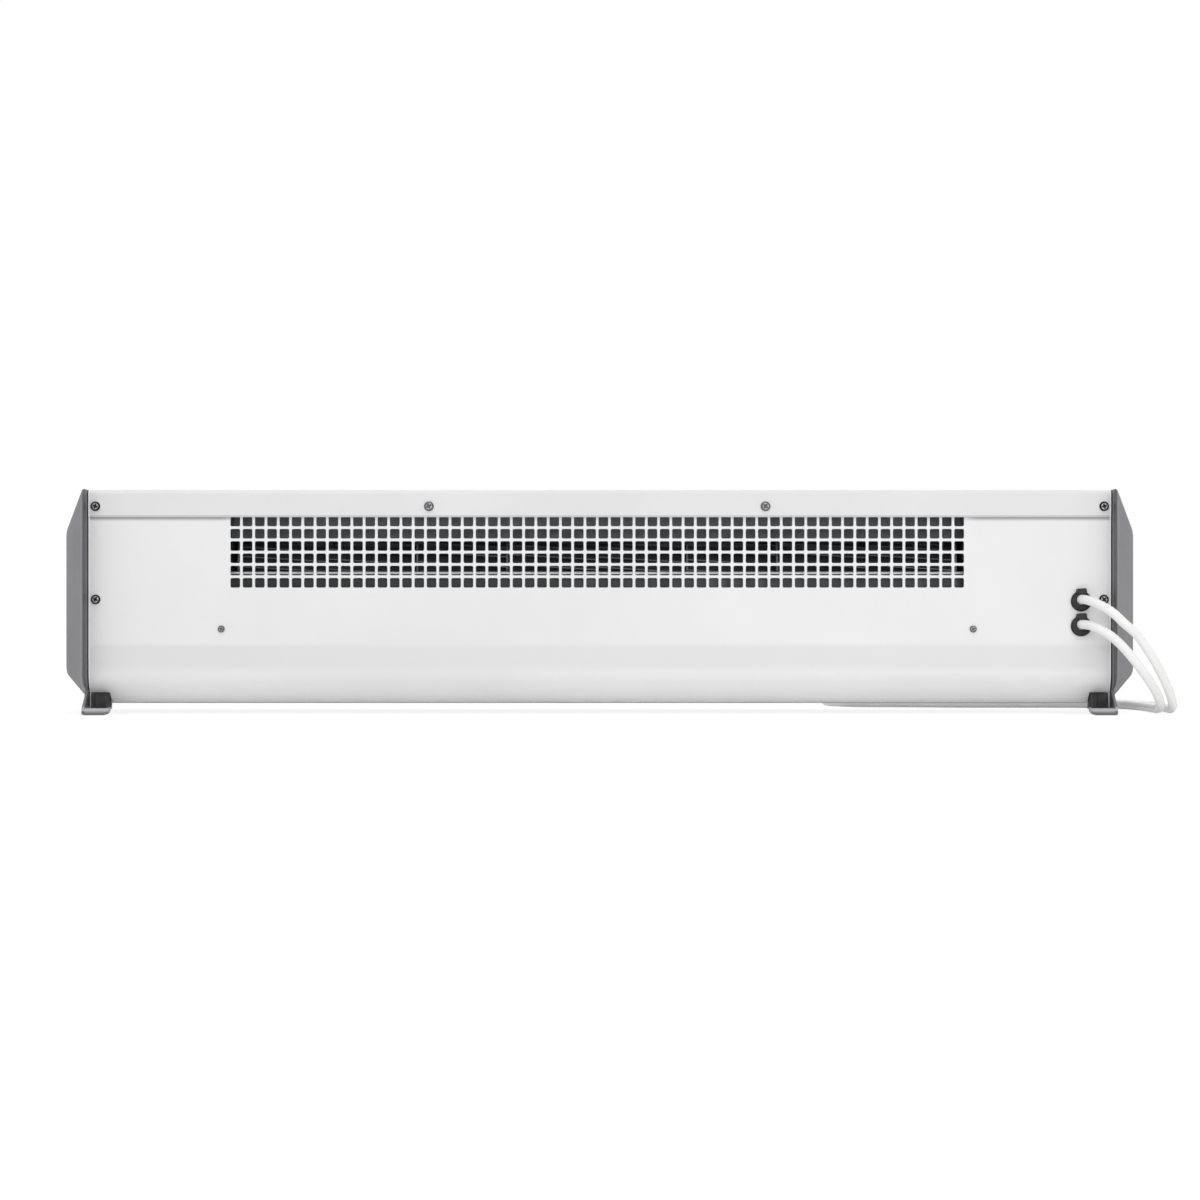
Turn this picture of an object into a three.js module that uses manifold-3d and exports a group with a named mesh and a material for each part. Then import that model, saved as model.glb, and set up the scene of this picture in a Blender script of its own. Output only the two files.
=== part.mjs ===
// An overdoor air curtain with electric heating, standing on its feet as it is stored.
// Millimetres, +Z up. +X runs along the case, -Y is the intake side with the cords, +Y is the front.
// The origin is the centre of the rectangle that the object stands on.
import * as THREE from "three";
import { ConvexGeometry } from "three/addons/geometries/ConvexGeometry.js";
import { mergeGeometries, mergeVertices } from "three/addons/utils/BufferGeometryUtils.js";
import Module from "manifold-3d";

const wasm = await Module();
wasm.setup();

// ---------------------------------------------------------------- driving dimensions

const CASE_LENGTH = 1000;
const CASE_DEPTH = 147; // intake panel's face to the cover's front
const CASE_HEIGHT = 210;
const CASE_LIFT = 10; // case bottom above the surface that the feet stand on
const CAP_OVERHANG = 20; // end caps behind the intake panel: the stand-off from a wall
const CAP_PROUD = 3; // end caps in front of the cover
const SHEET = 1; // painted steel sheet
const PLATE = 1.2; // end plates and bulkheads
const SEAT_GAP = 0.3; // between pieces that rest on each other
const HOLE_GAP = 0.5; // round a screw's shank, on the radius
const CUT_PAST = 1; // cutting solids run past the faces that they cut

// Case section
const TOP_FOLD_RADIUS = 5;
const FRONT_TOP_RADIUS = 48;
const FRONT_KNEE_HEIGHT = 48; // above the case bottom, where the front turns in
const FRONT_KNEE_RADIUS = 46;
const FRONT_TOE_SETBACK = 14; // case bottom's front corner behind the cover's front
const FRONT_TOE_RADIUS = 8;
const PANEL_CURVE_RADIUS = 31.6;
const COVER_FLANGE = 27; // cover's flange down over the intake panel
const PANEL_LAP = 21; // panel's top edge above the flange's edge

// Intake grille
const GRILLE_ROWS = 6;
const GRILLE_PITCH = 12;
const GRILLE_HOLE = 9.3;
const GRILLE_DROP = 4.2; // first row's centre below the cover's flange

// Bays at the ends of the case, outside the bulkheads
const MOTOR_BAY = 136;
const ELECTRICS_BAY = 141;

// End caps
const CAP_RISE = 33; // cap's outer face from the end of the case
const CAP_WALL = 2.5;
const CAP_INNER_FACE = 1.2; // cap's flat inner wall from the end of the case
const CAP_INNER_WALL = 1.8;
const CAP_RIM_INSET = 6;
const CAP_TOP_RADIUS = 6;
const CAP_REAR_KNEE = 22; // above the case bottom
const CAP_REAR_KNEE_RADIUS = 16;
const CAP_TOE_RADIUS = 14;
const CAP_TOE_SETBACK = 35; // cap's bottom rear corner in front of the panel's face
const CAP_FACE_REAR = 74; // outer face set in from the cap's rear edge
const CAP_FACE_FRONT = 55;
const CAP_FACE_TOP = 38;
const CAP_FACE_BOTTOM = 28;
const CAP_FACE_RADIUS = 8;
const CAP_DROP = 1; // cap's rim below the case bottom
const CAP_WINDOW_INSET = 14;
const CAP_RIB_WIDTH = 3;

// Feet
const FOOT_THICKNESS = 6.7;
const FOOT_REACH = 23; // tongue's inner end from the end of the case
const FOOT_WALL = 2.5;
const FOOT_WALL_HEIGHT = 24;
const FOOT_WALL_LIFT = 0.5; // wall's lower edge above the tongue's
const FOOT_OUTER_RADIUS = 2;
const FOOT_SHOULDER = 8; // slope at the top of the foot's rear edge
const FOOT_INNER_RADIUS = 6;
const REAR_FOOT_LENGTH = 47;
const REAR_FOOT_NECK = 13; // neck set in from the foot's rear edge
const FRONT_FOOT_LENGTH = 34;
const FRONT_FOOT_SETBACK = 20; // from the cap's front
const FRONT_FOOT_REACH = 22; // tongue's outer end from the end of the case
const FRONT_FOOT_RADIUS = 3;
const BLOCK_WIDTH = 17.5; // room for the block from the end plate's tab inwards
const BLOCK_TAB_GAP = 2.8; // tab shows beside the block
const BLOCK_LENGTH = 28;
const BLOCK_HEIGHT = 13.7;
const BLOCK_RECESS = 11; // block's face in from the foot's rear edge
const NOTCH_CLEARANCE = 0.8;
const FRONT_PAD_LENGTH = 20;
const FRONT_PAD_INSET = 5; // pad in from the foot's rear edge
const FRONT_PAD_MARGIN = 3; // pad in from the tongue's outer end
const FRONT_PAD_WIDTH = 14;
const FRONT_PAD_HEIGHT = 2.4;
const TAB_LENGTH = 14; // end plate's tab down beside the block
const TAB_MARGIN = 2; // tab in front of the block

const FLOOR_LAP = 9; // floor plates over the edges of the panel and the cover

// Screws
const SCREW = { head: 4.75, height: 2.6, shank: 2.1, length: 12 };
const SMALL_SCREW = { head: 3.45, height: 2, shank: 1.75, length: 9 };
const CORNER_SCREW_INSET = 7; // from the end of the case
const MIDDLE_SCREW_SPACING = 329;
const FLANGE_SCREW_HEIGHT = 10.6; // above the flange's edge
const SIDE_SCREW_HEIGHT = 102.5; // above the case bottom
const SMALL_SCREW_HEIGHT = 73.6;
const SMALL_SCREW_OFFSET = 6.2; // outside the bulkhead's inner face

// End plates and bulkheads
const FLANGE_WIDTH = 15;
const FLANGE_ABOVE_CURVE = 10; // end plate's flange above the panel's curve
const BULKHEAD_FLANGE_BELOW = 14; // below the small screw
const BULKHEAD_FLANGE_HEIGHT = 28;

// Fan
const FAN_FROM_FRONT = 76;
const FAN_ABOVE_BOTTOM = 136;
const FAN_RADIUS = 45;
const FAN_BLADES = 20;
const BLADE_DEPTH = 10.6;
const BLADE_THICKNESS = 1.2;
const BLADE_SWEEP = 0.24; // radians that the blade leans between its edges
const BLADE_BOW = 0.35; // how far its middle leads its chord, as a share of the sweep
const BLADE_INSET = 0.4; // blade's outer edge inside the end discs' rims
const RING_INSET = 2; // stiffening ring's bore inside the blades' inner edges
const FAN_SIDE_GAP = 6;
const FAN_DISC = 3;
const FAN_RINGS = 1; // stiffening rings between the end discs
const FAN_HUB_RADIUS = 11;
const FAN_HUB_LENGTH = 14;
const SHAFT_RADIUS = 5;
const STUB_RADIUS = 4;
const SHAFT_CLEARANCE = 0.3;
const SHAFT_SHY = 2; // shaft's end short of the hub's inner end

// Motor
const MOTOR_RADIUS = 45;
const MOTOR_LENGTH = 85;
const MOTOR_FROM_BULKHEAD = 20;
const MOTOR_END_WALL = 8;
const MOTOR_EDGE = 5;
const ROTOR_RADIUS = 29.4;
const STATOR_BORE = 30;
const ROTOR_END_GAP = 4;
const SHAFT_TAIL = 4; // shaft past the motor's far end
const CRADLE_SHEET = 2;
const CRADLE_WIDTH = 100;
const CRADLE_DROP = 2; // base below the motor
const CRADLE_LEG_INSET = 15;
const CRADLE_SEAT_DROP = 24; // top of the cradle's legs below the motor's axis
const CRADLE_TAB = 12; // fold against the bulkhead, below the base
const STRAP_WIDTH = 14;
const STRAP_SHEET = 1.5;
const CAPACITOR = { length: 40, width: 34, height: 26, above: 22 };

// Bearing at the fan's far end
const BEARING_RADIUS = 8;
const HOLDER_RADIUS = 11.6;
const HOLDER_FLANGE_RADIUS = 16;
const HOLDER_LENGTH = 9;
const HOLDER_FLANGE = 2.5;
const BULKHEAD_SHAFT_HOLE = 12;

// Duct
const SCROLL_START_HEIGHT = 25; // above the fan's axis
const SCROLL_START_DEPTH = 42; // behind the fan's axis
const SCROLL_GAP = 5; // from the fan to the scroll at its start
const SCROLL_GROWTH = 17; // by which that gap has grown at the front
const SCROLL_END_ANGLE = -20;
const SCROLL_STEPS = 16;
const OUTLET_BEHIND_FAN = 16; // outlet's rear edge behind the fan's axis
const OUTLET_WIDTH = 60;
const OUTLET_THROAT = 30; // height at which the duct's walls turn upright, above the case bottom
const DUCT_FOOT = 10; // fold that rests on the case bottom
const LIP_HEIGHT = -6; // duct's rear lip from the fan's axis
const LIP_DEPTH = 49;
const LIP_FOLD = 5;
const LIP_RADIUS = 2;
const REAR_WALL_RADII = [12, 30]; // where it leaves the lip, and where it turns upright
const REAR_WALL_DROP = 26; // straight part below the lip
const REAR_WALL_KNEE = 50; // above the case bottom

// Outlet frame and vanes
const FRAME_WALL = 1.5;
const FRAME_HEIGHT = 21;
const VANE_COUNT = 3;
const VANE_CHORD = 17;
const VANE_THICKNESS = 1.8;
const VANE_PIVOT_HEIGHT = 10.5; // above the case bottom
const VANE_END_GAP = 6; // vane's end from the frame's end wall
const VANE_GRIP = 8; // pins' length inside the blade
const VANE_TAPER = { low: 4.25, high: 1.7 }; // from the blade's edges to its full thickness
const VANE_PIVOT_RADIUS = 1.6;
const VANE_CRANK_RADIUS = 1.1;
const VANE_CRANK = 6.8; // crank pin above the pivot
const LINK_THICKNESS = 1.8;
const LINK_HALF_HEIGHT = 3.2;
const LINK_CLEARANCE = 0.4;
const LINK_FROM_VANE = 1.2;
const CRANK_PROUD = 1; // crank pin past the link

// Heating elements
const HEATER_SPOTS = [
  [15, 52],
  [31, 68],
  [47, 52],
]; // [from the outlet's rear edge, above the case bottom]
const HEATER_ROD_RADIUS = 4.2;
const HEATER_FIN_RADIUS = 8.5;
const HEATER_FIN_INSET = 14;
const HEATER_TERMINAL = 14; // rod past the bulkhead's outer face
const CUTOUT = { radius: 8, height: 7, fromPanel: 35, above: 50 };

// Electrics
const ELECTRICS_FROM_FRONT = 55;
const ELECTRICS_LOW = 30; // above the case bottom
const ELECTRICS_HIGH = 180;
const TERMINALS = { width: 60, depth: 16, height: 20, above: 40, inset: 42, ways: 6, slot: 1.2, cut: 4 };
const BOARD = { width: 86, height: 70, thickness: 1.6, above: 92, inset: 27, standoff: 7.4 };
const STANDOFF = { radius: 3, inset: 5 };
const RELAY = { width: 28, depth: 15, height: 22, spacing: 40 };

// Cords
const CORD_RADIUS = 4.5;
const CORD_SIDES = 8;
const CORD_STEP = 19;
const CORD_INSET = 29.4; // cords' exits from the end of the case
const SUPPLY_EXIT_HEIGHT = 112.6;
const CORD_SPACING = 24.4; // the control cord's exit below the supply cord's
const BUSHING_RADIUS = 10.1;
const BUSHING_FLANGE = 3.2;
const BUSHING_NECK = 7.8;
const BUSHING_DEPTH = 11; // behind the panel's face
const BUSHING_BORE_GAP = 0.4;
const BUSHING_CHAMFER = { in: 1.4, back: 1.2 };
const WEDGE = { width: 8, height: 11, proud: 5.4, neck: 6 };
const COIL_RADIUS = 54;
const COIL_PITCH = 9.6; // from turn to turn and from layer to layer
const COIL_TURNS_IN = 1.25;
const COIL_STEPS = 24; // a turn
const COIL_SIDES = 6;
const CORD_REST = 4.6; // cord's centre above the surface that it lies on
const COIL_FROM_FRONT = 80; // coils' centre in front of the cap's front edge
const SUPPLY_COIL_INSET = 75; // coils' centres from the end of the case
const CONTROL_COIL_INSET = 208;
const CORE_RADIUS = 1.35;
const CORE_LENGTH = 24;
const FERRULE_RADIUS = 0.9;
const FERRULE_LENGTH = 9;
const SHEATH_END = 6;
const CORE_SPREAD = 2.3;
const CORE_SIDES = 6;

// Mesh fineness
const ARC_STEP = Math.PI / 8;
const COARSE_ARC_STEP = Math.PI / 4; // on faces that nothing shows
const ROUND_SIDES = 16;
const SMALL_SIDES = 8;
const STRAP_STEPS = 12; // a half turn

// ---------------------------------------------------------------- places worked out from them

const TOTAL_DEPTH = CAP_OVERHANG + CASE_DEPTH + CAP_PROUD;
const CAP_REAR_Y = -TOTAL_DEPTH / 2;
const CAP_FRONT_Y = TOTAL_DEPTH / 2;
const PANEL_Y = CAP_REAR_Y + CAP_OVERHANG;
const COVER_FRONT_Y = PANEL_Y + CASE_DEPTH;
const CASE_END = CASE_LENGTH / 2;
const CASE_BOTTOM = CASE_LIFT;
const CASE_TOP = CASE_LIFT + CASE_HEIGHT;
const FLANGE_EDGE = CASE_TOP - COVER_FLANGE;
const FLANGE_Y = PANEL_Y - SEAT_GAP - SHEET;
const PANEL_INSIDE_Y = PANEL_Y + SHEET + SEAT_GAP;
const FLOOR_INSIDE = CASE_BOTTOM + SHEET + SEAT_GAP;
const SKIN = SHEET + SEAT_GAP;
const PANEL_CUT = [PANEL_Y - CUT_PAST, PANEL_Y + SHEET + CUT_PAST];
const FLANGE_CUT = [PANEL_INSIDE_Y - CUT_PAST, PANEL_INSIDE_Y + PLATE + CUT_PAST];
const FAN_Y = COVER_FRONT_Y - FAN_FROM_FRONT;
const FAN_Z = CASE_BOTTOM + FAN_ABOVE_BOTTOM;
const WORKS_LEFT = -CASE_END + MOTOR_BAY;
const WORKS_RIGHT = CASE_END - ELECTRICS_BAY;
const WORKS_MIDDLE = (WORKS_LEFT + WORKS_RIGHT) / 2;
const GRILLE_COLUMNS = Math.floor((WORKS_RIGHT - WORKS_LEFT) / GRILLE_PITCH);
const OUTLET_REAR_Y = FAN_Y - OUTLET_BEHIND_FAN;
const OUTLET_FRONT_Y = OUTLET_REAR_Y + OUTLET_WIDTH;
const FLANGE_SCREW_Z = FLANGE_EDGE + FLANGE_SCREW_HEIGHT;
const SIDE_SCREW_Z = CASE_BOTTOM + SIDE_SCREW_HEIGHT;
const SMALL_SCREW_Z = CASE_BOTTOM + SMALL_SCREW_HEIGHT;
const CORNER_SCREW_X = CASE_END - CORNER_SCREW_INSET;
const FLANGE_SCREW_XS = [
  -CORNER_SCREW_X,
  WORKS_MIDDLE - MIDDLE_SCREW_SPACING / 2,
  WORKS_MIDDLE + MIDDLE_SCREW_SPACING / 2,
  CORNER_SCREW_X,
];
const SMALL_SCREW_XS = [WORKS_LEFT - SMALL_SCREW_OFFSET, WORKS_RIGHT + SMALL_SCREW_OFFSET];
const FAN_LEFT = WORKS_LEFT + FAN_SIDE_GAP;
const FAN_RIGHT = WORKS_RIGHT - FAN_SIDE_GAP;
const MOTOR_RIGHT = WORKS_LEFT - PLATE - MOTOR_FROM_BULKHEAD;
const MOTOR_LEFT = MOTOR_RIGHT - MOTOR_LENGTH;
const ELECTRICS_Y = COVER_FRONT_Y - ELECTRICS_FROM_FRONT;
const BLOCK_TOP = FOOT_THICKNESS + SEAT_GAP + BLOCK_HEIGHT;
const CORD_X = CASE_END - CORD_INSET;
const SUPPLY = { z: SUPPLY_EXIT_HEIGHT, coilX: CASE_END - SUPPLY_COIL_INSET };
const CONTROL = { z: SUPPLY_EXIT_HEIGHT - CORD_SPACING, coilX: CASE_END - CONTROL_COIL_INSET };
const COIL_Y = CAP_FRONT_Y + COIL_FROM_FRONT;

// The case's section from the side, clockwise from the top rear corner: [y, z, radius].
const CASE_CORNERS = [
  [PANEL_Y, CASE_TOP, TOP_FOLD_RADIUS],
  [COVER_FRONT_Y, CASE_TOP, FRONT_TOP_RADIUS],
  [COVER_FRONT_Y, CASE_BOTTOM + FRONT_KNEE_HEIGHT, FRONT_KNEE_RADIUS],
  [COVER_FRONT_Y - FRONT_TOE_SETBACK, CASE_BOTTOM, FRONT_TOE_RADIUS],
  [PANEL_Y, CASE_BOTTOM, PANEL_CURVE_RADIUS],
];
const CAP_CORNERS = [
  [CAP_REAR_Y, CASE_TOP, CAP_TOP_RADIUS],
  [CAP_FRONT_Y, CASE_TOP, FRONT_TOP_RADIUS + CAP_PROUD],
  [CAP_FRONT_Y, CASE_BOTTOM + FRONT_KNEE_HEIGHT, FRONT_KNEE_RADIUS + CAP_PROUD],
  [CAP_FRONT_Y - FRONT_TOE_SETBACK, CASE_BOTTOM - CAP_DROP, FRONT_TOE_RADIUS],
  [PANEL_Y + CAP_TOE_SETBACK, CASE_BOTTOM - CAP_DROP, CAP_TOE_RADIUS],
  [CAP_REAR_Y, CASE_BOTTOM + CAP_REAR_KNEE, CAP_REAR_KNEE_RADIUS],
];
const CAP_FACE_CORNERS = [
  [CAP_REAR_Y + CAP_FACE_REAR, CASE_TOP - CAP_FACE_TOP, CAP_FACE_RADIUS],
  [CAP_FRONT_Y - CAP_FACE_FRONT, CASE_TOP - CAP_FACE_TOP, CAP_FACE_RADIUS],
  [CAP_FRONT_Y - CAP_FACE_FRONT, CASE_BOTTOM + CAP_FACE_BOTTOM, CAP_FACE_RADIUS],
  [CAP_REAR_Y + CAP_FACE_REAR, CASE_BOTTOM + CAP_FACE_BOTTOM, CAP_FACE_RADIUS],
];

// ---------------------------------------------------------------- materials

function finish(color, roughness, metalness) {
  return new THREE.MeshStandardMaterial({ color, roughness, metalness });
}
const whitePaint = finish(0xe8e9ea, 0.42, 0);
const greyPlastic = finish(0x8a8a8c, 0.5, 0);
const blackRubber = finish(0x2a2a2b, 0.7, 0);
const blackPlastic = finish(0x1d1d1e, 0.45, 0);
const galvanised = finish(0xa4a8aa, 0.4, 0.9);
const aluminium = finish(0xb9bbbd, 0.35, 0.95);
const steel = finish(0x77797b, 0.35, 0.9);
const whitePlastic = finish(0xf1f1ef, 0.45, 0);
const greenBoard = finish(0x1f5a37, 0.5, 0);
const blueCase = finish(0x23537f, 0.45, 0);
const bronze = finish(0x8a6a3c, 0.45, 0.8);

// ---------------------------------------------------------------- shaping

const model = new THREE.Group();

function add(name, geometry, material) {
  const mesh = new THREE.Mesh(geometry, material);
  mesh.name = name;
  model.add(mesh);
  return mesh;
}

function solidOf(geometry) {
  const bare = geometry.clone();
  bare.deleteAttribute("normal");
  bare.deleteAttribute("uv");
  const merged = mergeVertices(bare, 1e-4);
  const mesh = new wasm.Mesh({
    numProp: 3,
    vertProperties: merged.attributes.position.array,
    triVerts: new Uint32Array(merged.index.array),
  });
  return new wasm.Manifold(mesh);
}

function geometryOf(solid) {
  const mesh = solid.getMesh();
  const geometry = new THREE.BufferGeometry();
  geometry.setAttribute("position", new THREE.BufferAttribute(mesh.vertProperties, mesh.numProp));
  geometry.setIndex(new THREE.BufferAttribute(mesh.triVerts, 1));
  const flat = geometry.toNonIndexed();
  flat.computeVertexNormals();
  return flat;
}

function join(first, ...others) {
  return geometryOf(others.reduce((sum, next) => sum.add(solidOf(next)), solidOf(first)));
}

function cut(first, ...others) {
  return geometryOf(others.reduce((rest, next) => rest.subtract(solidOf(next)), solidOf(first)));
}

// A box between two x values, two y values and two z values, each pair in either order.
function box(xs, ys, zs) {
  const size = [xs, ys, zs].map(([a, b]) => Math.abs(b - a));
  const middle = [xs, ys, zs].map(([a, b]) => (a + b) / 2);
  return new THREE.BoxGeometry(...size).translate(...middle);
}

function vectors(points) {
  return points.map(([u, v]) => new THREE.Vector2(u, v));
}

// Directions from a corner to its two neighbours, and half the angle between them.
function cornerOf(corners, index) {
  const count = corners.length;
  const [before, here, after] = [index + count - 1, index, index + 1].map(
    (i) => new THREE.Vector2(corners[i % count][0], corners[i % count][1]),
  );
  before.sub(here).normalize();
  after.sub(here).normalize();
  const half = Math.acos(THREE.MathUtils.clamp(before.dot(after), -1, 1)) / 2;
  return { before, here, after, half, inward: before.clone().add(after).normalize() };
}

// The path through corners [u, v, radius], with each radius as an arc of short straight steps.
function roundedPath(corners, arcStep = ARC_STEP) {
  const points = [];
  corners.forEach(([u, v, radius], index) => {
    if (!radius) {
      points.push(new THREE.Vector2(u, v));
      return;
    }
    const { before, here, after, half, inward } = cornerOf(corners, index);
    const reach = radius / Math.tan(half);
    const centre = here.clone().addScaledVector(inward, radius / Math.sin(half));
    const start = here.clone().addScaledVector(before, reach).sub(centre);
    const end = here.clone().addScaledVector(after, reach).sub(centre);
    const sweep = Math.atan2(start.cross(end), start.dot(end));
    const steps = Math.max(2, Math.ceil(Math.abs(sweep) / arcStep));
    for (let i = 0; i <= steps; i += 1) {
      const turned = start.clone().rotateAround(new THREE.Vector2(), (sweep * i) / steps);
      points.push(turned.add(centre));
    }
  });
  return points;
}

// A closed convex outline moved inwards by a distance, corner by corner.
function insetOutline(corners, distance, arcStep = ARC_STEP) {
  const inset = corners.map(([, , radius], index) => {
    const { here, half, inward } = cornerOf(corners, index);
    const moved = here.clone().addScaledVector(inward, distance / Math.sin(half));
    return [moved.x, moved.y, Math.max(radius - distance, 0.5)];
  });
  return roundedPath(inset, arcStep);
}

// A path moved sideways: to its left for a positive distance, to its right for a negative one.
function offsetPath(points, distance) {
  return points.map((point, index) => {
    const before = points[Math.max(index - 1, 0)];
    const after = points[Math.min(index + 1, points.length - 1)];
    const inLine = point.clone().sub(before).normalize();
    const outLine = after.clone().sub(point).normalize();
    if (index === 0) inLine.copy(outLine);
    if (index === points.length - 1) outLine.copy(inLine);
    const along = inLine.clone().add(outLine).normalize();
    const side = new THREE.Vector2(-along.y, along.x);
    return point.clone().addScaledVector(side, distance / along.dot(inLine));
  });
}

// The section of a bent sheet: its path, and the same path one thickness to the side.
function sheetShape(points, thickness) {
  return new THREE.Shape([...points, ...offsetPath(points, thickness).reverse()]);
}

// A (y, z) shape swept along X.
function extrudeX(shape, from, to) {
  const geometry = new THREE.ExtrudeGeometry(shape, { depth: Math.abs(to - from), bevelEnabled: false });
  const turn = new THREE.Matrix4().makeBasis(
    new THREE.Vector3(0, 1, 0),
    new THREE.Vector3(0, 0, 1),
    new THREE.Vector3(1, 0, 0),
  );
  return geometry.applyMatrix4(turn).translate(Math.min(from, to), 0, 0);
}

// An (x, z) shape swept along Y.
function extrudeY(shape, from, to) {
  const geometry = new THREE.ExtrudeGeometry(shape, { depth: Math.abs(to - from), bevelEnabled: false });
  const turn = new THREE.Matrix4().makeBasis(
    new THREE.Vector3(1, 0, 0),
    new THREE.Vector3(0, 0, 1),
    new THREE.Vector3(0, -1, 0),
  );
  return geometry.applyMatrix4(turn).translate(0, Math.max(from, to), 0);
}

// A closed [x, radius] profile turned about a line along X at (y, z).
function turnedX(profile, y, z, sides = ROUND_SIDES) {
  const points = profile.map(([x, radius]) => new THREE.Vector2(radius, x));
  const geometry = new THREE.LatheGeometry([...points, points[0]], sides);
  return facingOut(geometry.rotateZ(-Math.PI / 2).translate(0, y, z));
}

// A closed [y, radius] profile turned about a line along Y at (x, z).
function turnedY(profile, x, z, sides = SMALL_SIDES) {
  const points = profile.map(([y, radius]) => new THREE.Vector2(radius, y));
  return facingOut(new THREE.LatheGeometry([...points, points[0]], sides).translate(x, 0, z));
}

// A turned profile may be listed either way round: this makes its faces point outwards.
function facingOut(geometry) {
  const solid = solidOf(geometry);
  if (solid.volume() > 0) return geometry;
  const turned = geometry.toNonIndexed();
  const position = turned.attributes.position;
  for (let i = 0; i < position.count; i += 3) {
    const second = new THREE.Vector3().fromBufferAttribute(position, i + 1);
    const third = new THREE.Vector3().fromBufferAttribute(position, i + 2);
    position.setXYZ(i + 1, third.x, third.y, third.z);
    position.setXYZ(i + 2, second.x, second.y, second.z);
  }
  turned.computeVertexNormals();
  return turned;
}

// A round bar along X between two x values.
function barX(from, to, radius, y, z, sides = SMALL_SIDES) {
  return new THREE.CylinderGeometry(radius, radius, Math.abs(to - from), sides)
    .rotateZ(Math.PI / 2)
    .translate((from + to) / 2, y, z);
}

// A round bar along Y between two y values.
function barY(from, to, radius, x, z, sides = SMALL_SIDES) {
  return new THREE.CylinderGeometry(radius, radius, Math.abs(to - from), sides)
    .translate(x, (from + to) / 2, z);
}

function roundSection(radius, sides) {
  const points = [];
  for (let i = 0; i < sides; i += 1) {
    const angle = (2 * Math.PI * i) / sides;
    points.push([radius * Math.cos(angle), radius * Math.sin(angle)]);
  }
  return new THREE.Shape(vectors(points));
}

// ---------------------------------------------------------------- case

function frontCover() {
  const corners = [
    [FLANGE_Y, FLANGE_EDGE, 0],
    [FLANGE_Y, CASE_TOP, TOP_FOLD_RADIUS],
    ...CASE_CORNERS.slice(1, 4),
    [OUTLET_FRONT_Y + SHEET + SEAT_GAP, CASE_BOTTOM, 0],
  ];
  const sheet = extrudeX(sheetShape(roundedPath(corners), -SHEET), -CASE_END, CASE_END);
  const holes = FLANGE_SCREW_XS.map((x) =>
    barY(FLANGE_Y - CUT_PAST, PANEL_Y - SEAT_GAP / 2, SCREW.shank + HOLE_GAP, x, FLANGE_SCREW_Z),
  );
  return cut(sheet, ...holes);
}

// The grille's square punches, as one set of boxes through the panel.
function grillePunches() {
  const punches = [];
  const firstX = WORKS_MIDDLE - ((GRILLE_COLUMNS - 1) * GRILLE_PITCH) / 2;
  const half = GRILLE_HOLE / 2;
  for (let row = 0; row < GRILLE_ROWS; row += 1) {
    const z = FLANGE_EDGE - GRILLE_DROP - row * GRILLE_PITCH;
    for (let column = 0; column < GRILLE_COLUMNS; column += 1) {
      const x = firstX + column * GRILLE_PITCH;
      punches.push(box([x - half, x + half], PANEL_CUT, [z - half, z + half]));
    }
  }
  return mergeGeometries(punches);
}

function panelHole(x, z, radius, sides = SMALL_SIDES) {
  return barY(PANEL_CUT[0], PANEL_CUT[1], radius, x, z, sides);
}

// The intake panel is flat behind the grille and curves forward at the bottom,
// where its corners are notched for the feet.
function rearPanel() {
  const corners = [
    [PANEL_Y, FLANGE_EDGE + PANEL_LAP, 0],
    [PANEL_Y, CASE_BOTTOM, PANEL_CURVE_RADIUS],
    [OUTLET_REAR_Y - SHEET - SEAT_GAP, CASE_BOTTOM, 0],
  ];
  const sheet = extrudeX(sheetShape(roundedPath(corners), SHEET), -CASE_END, CASE_END);
  const notches = [-1, 1].map((side) =>
    box(
      [side * (CASE_END - PLATE - SEAT_GAP - BLOCK_WIDTH - NOTCH_CLEARANCE), side * (CASE_END + CUT_PAST)],
      [PANEL_CUT[0], CAP_REAR_Y + BLOCK_RECESS + BLOCK_LENGTH + TAB_MARGIN + NOTCH_CLEARANCE],
      [CASE_BOTTOM - CUT_PAST, BLOCK_TOP + NOTCH_CLEARANCE],
    ),
  );
  const holes = [
    ...FLANGE_SCREW_XS.map((x) => panelHole(x, FLANGE_SCREW_Z, SCREW.shank + HOLE_GAP)),
    ...[-CORNER_SCREW_X, CORNER_SCREW_X].map((x) => panelHole(x, SIDE_SCREW_Z, SCREW.shank + HOLE_GAP)),
    ...SMALL_SCREW_XS.map((x) => panelHole(x, SMALL_SCREW_Z, SMALL_SCREW.shank + HOLE_GAP)),
    ...[SUPPLY, CONTROL].map(({ z }) => panelHole(CORD_X, z, BUSHING_NECK + HOLE_GAP, ROUND_SIDES)),
  ];
  return cut(sheet, grillePunches(), ...holes, ...notches);
}

// An end plate closes the case's section, takes the corner screws in its flange,
// and has a tab that comes down beside the foot's block.
function endPlate(side) {
  const outer = side * CASE_END;
  const inner = side * (CASE_END - PLATE);
  const flangeEnd = side * (CASE_END - FLANGE_WIDTH);
  const plate = extrudeX(new THREE.Shape(insetOutline(CASE_CORNERS, SKIN)), inner, outer);
  const flange = box(
    [flangeEnd, side * (CASE_END - PLATE / 2)],
    [PANEL_INSIDE_Y, PANEL_INSIDE_Y + PLATE],
    [CASE_BOTTOM + PANEL_CURVE_RADIUS + FLANGE_ABOVE_CURVE, FLANGE_EDGE + PANEL_LAP],
  );
  const blockEnd = CAP_REAR_Y + BLOCK_RECESS + BLOCK_LENGTH;
  const tab = box(
    [inner, outer],
    [blockEnd + TAB_MARGIN - TAB_LENGTH, blockEnd + TAB_MARGIN],
    [FOOT_THICKNESS + SEAT_GAP, BLOCK_TOP],
  );
  const holes = [FLANGE_SCREW_Z, SIDE_SCREW_Z].map((z) =>
    barY(...FLANGE_CUT, SCREW.shank + HOLE_GAP, side * CORNER_SCREW_X, z),
  );
  return cut(join(plate, flange, tab), ...holes);
}

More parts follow.
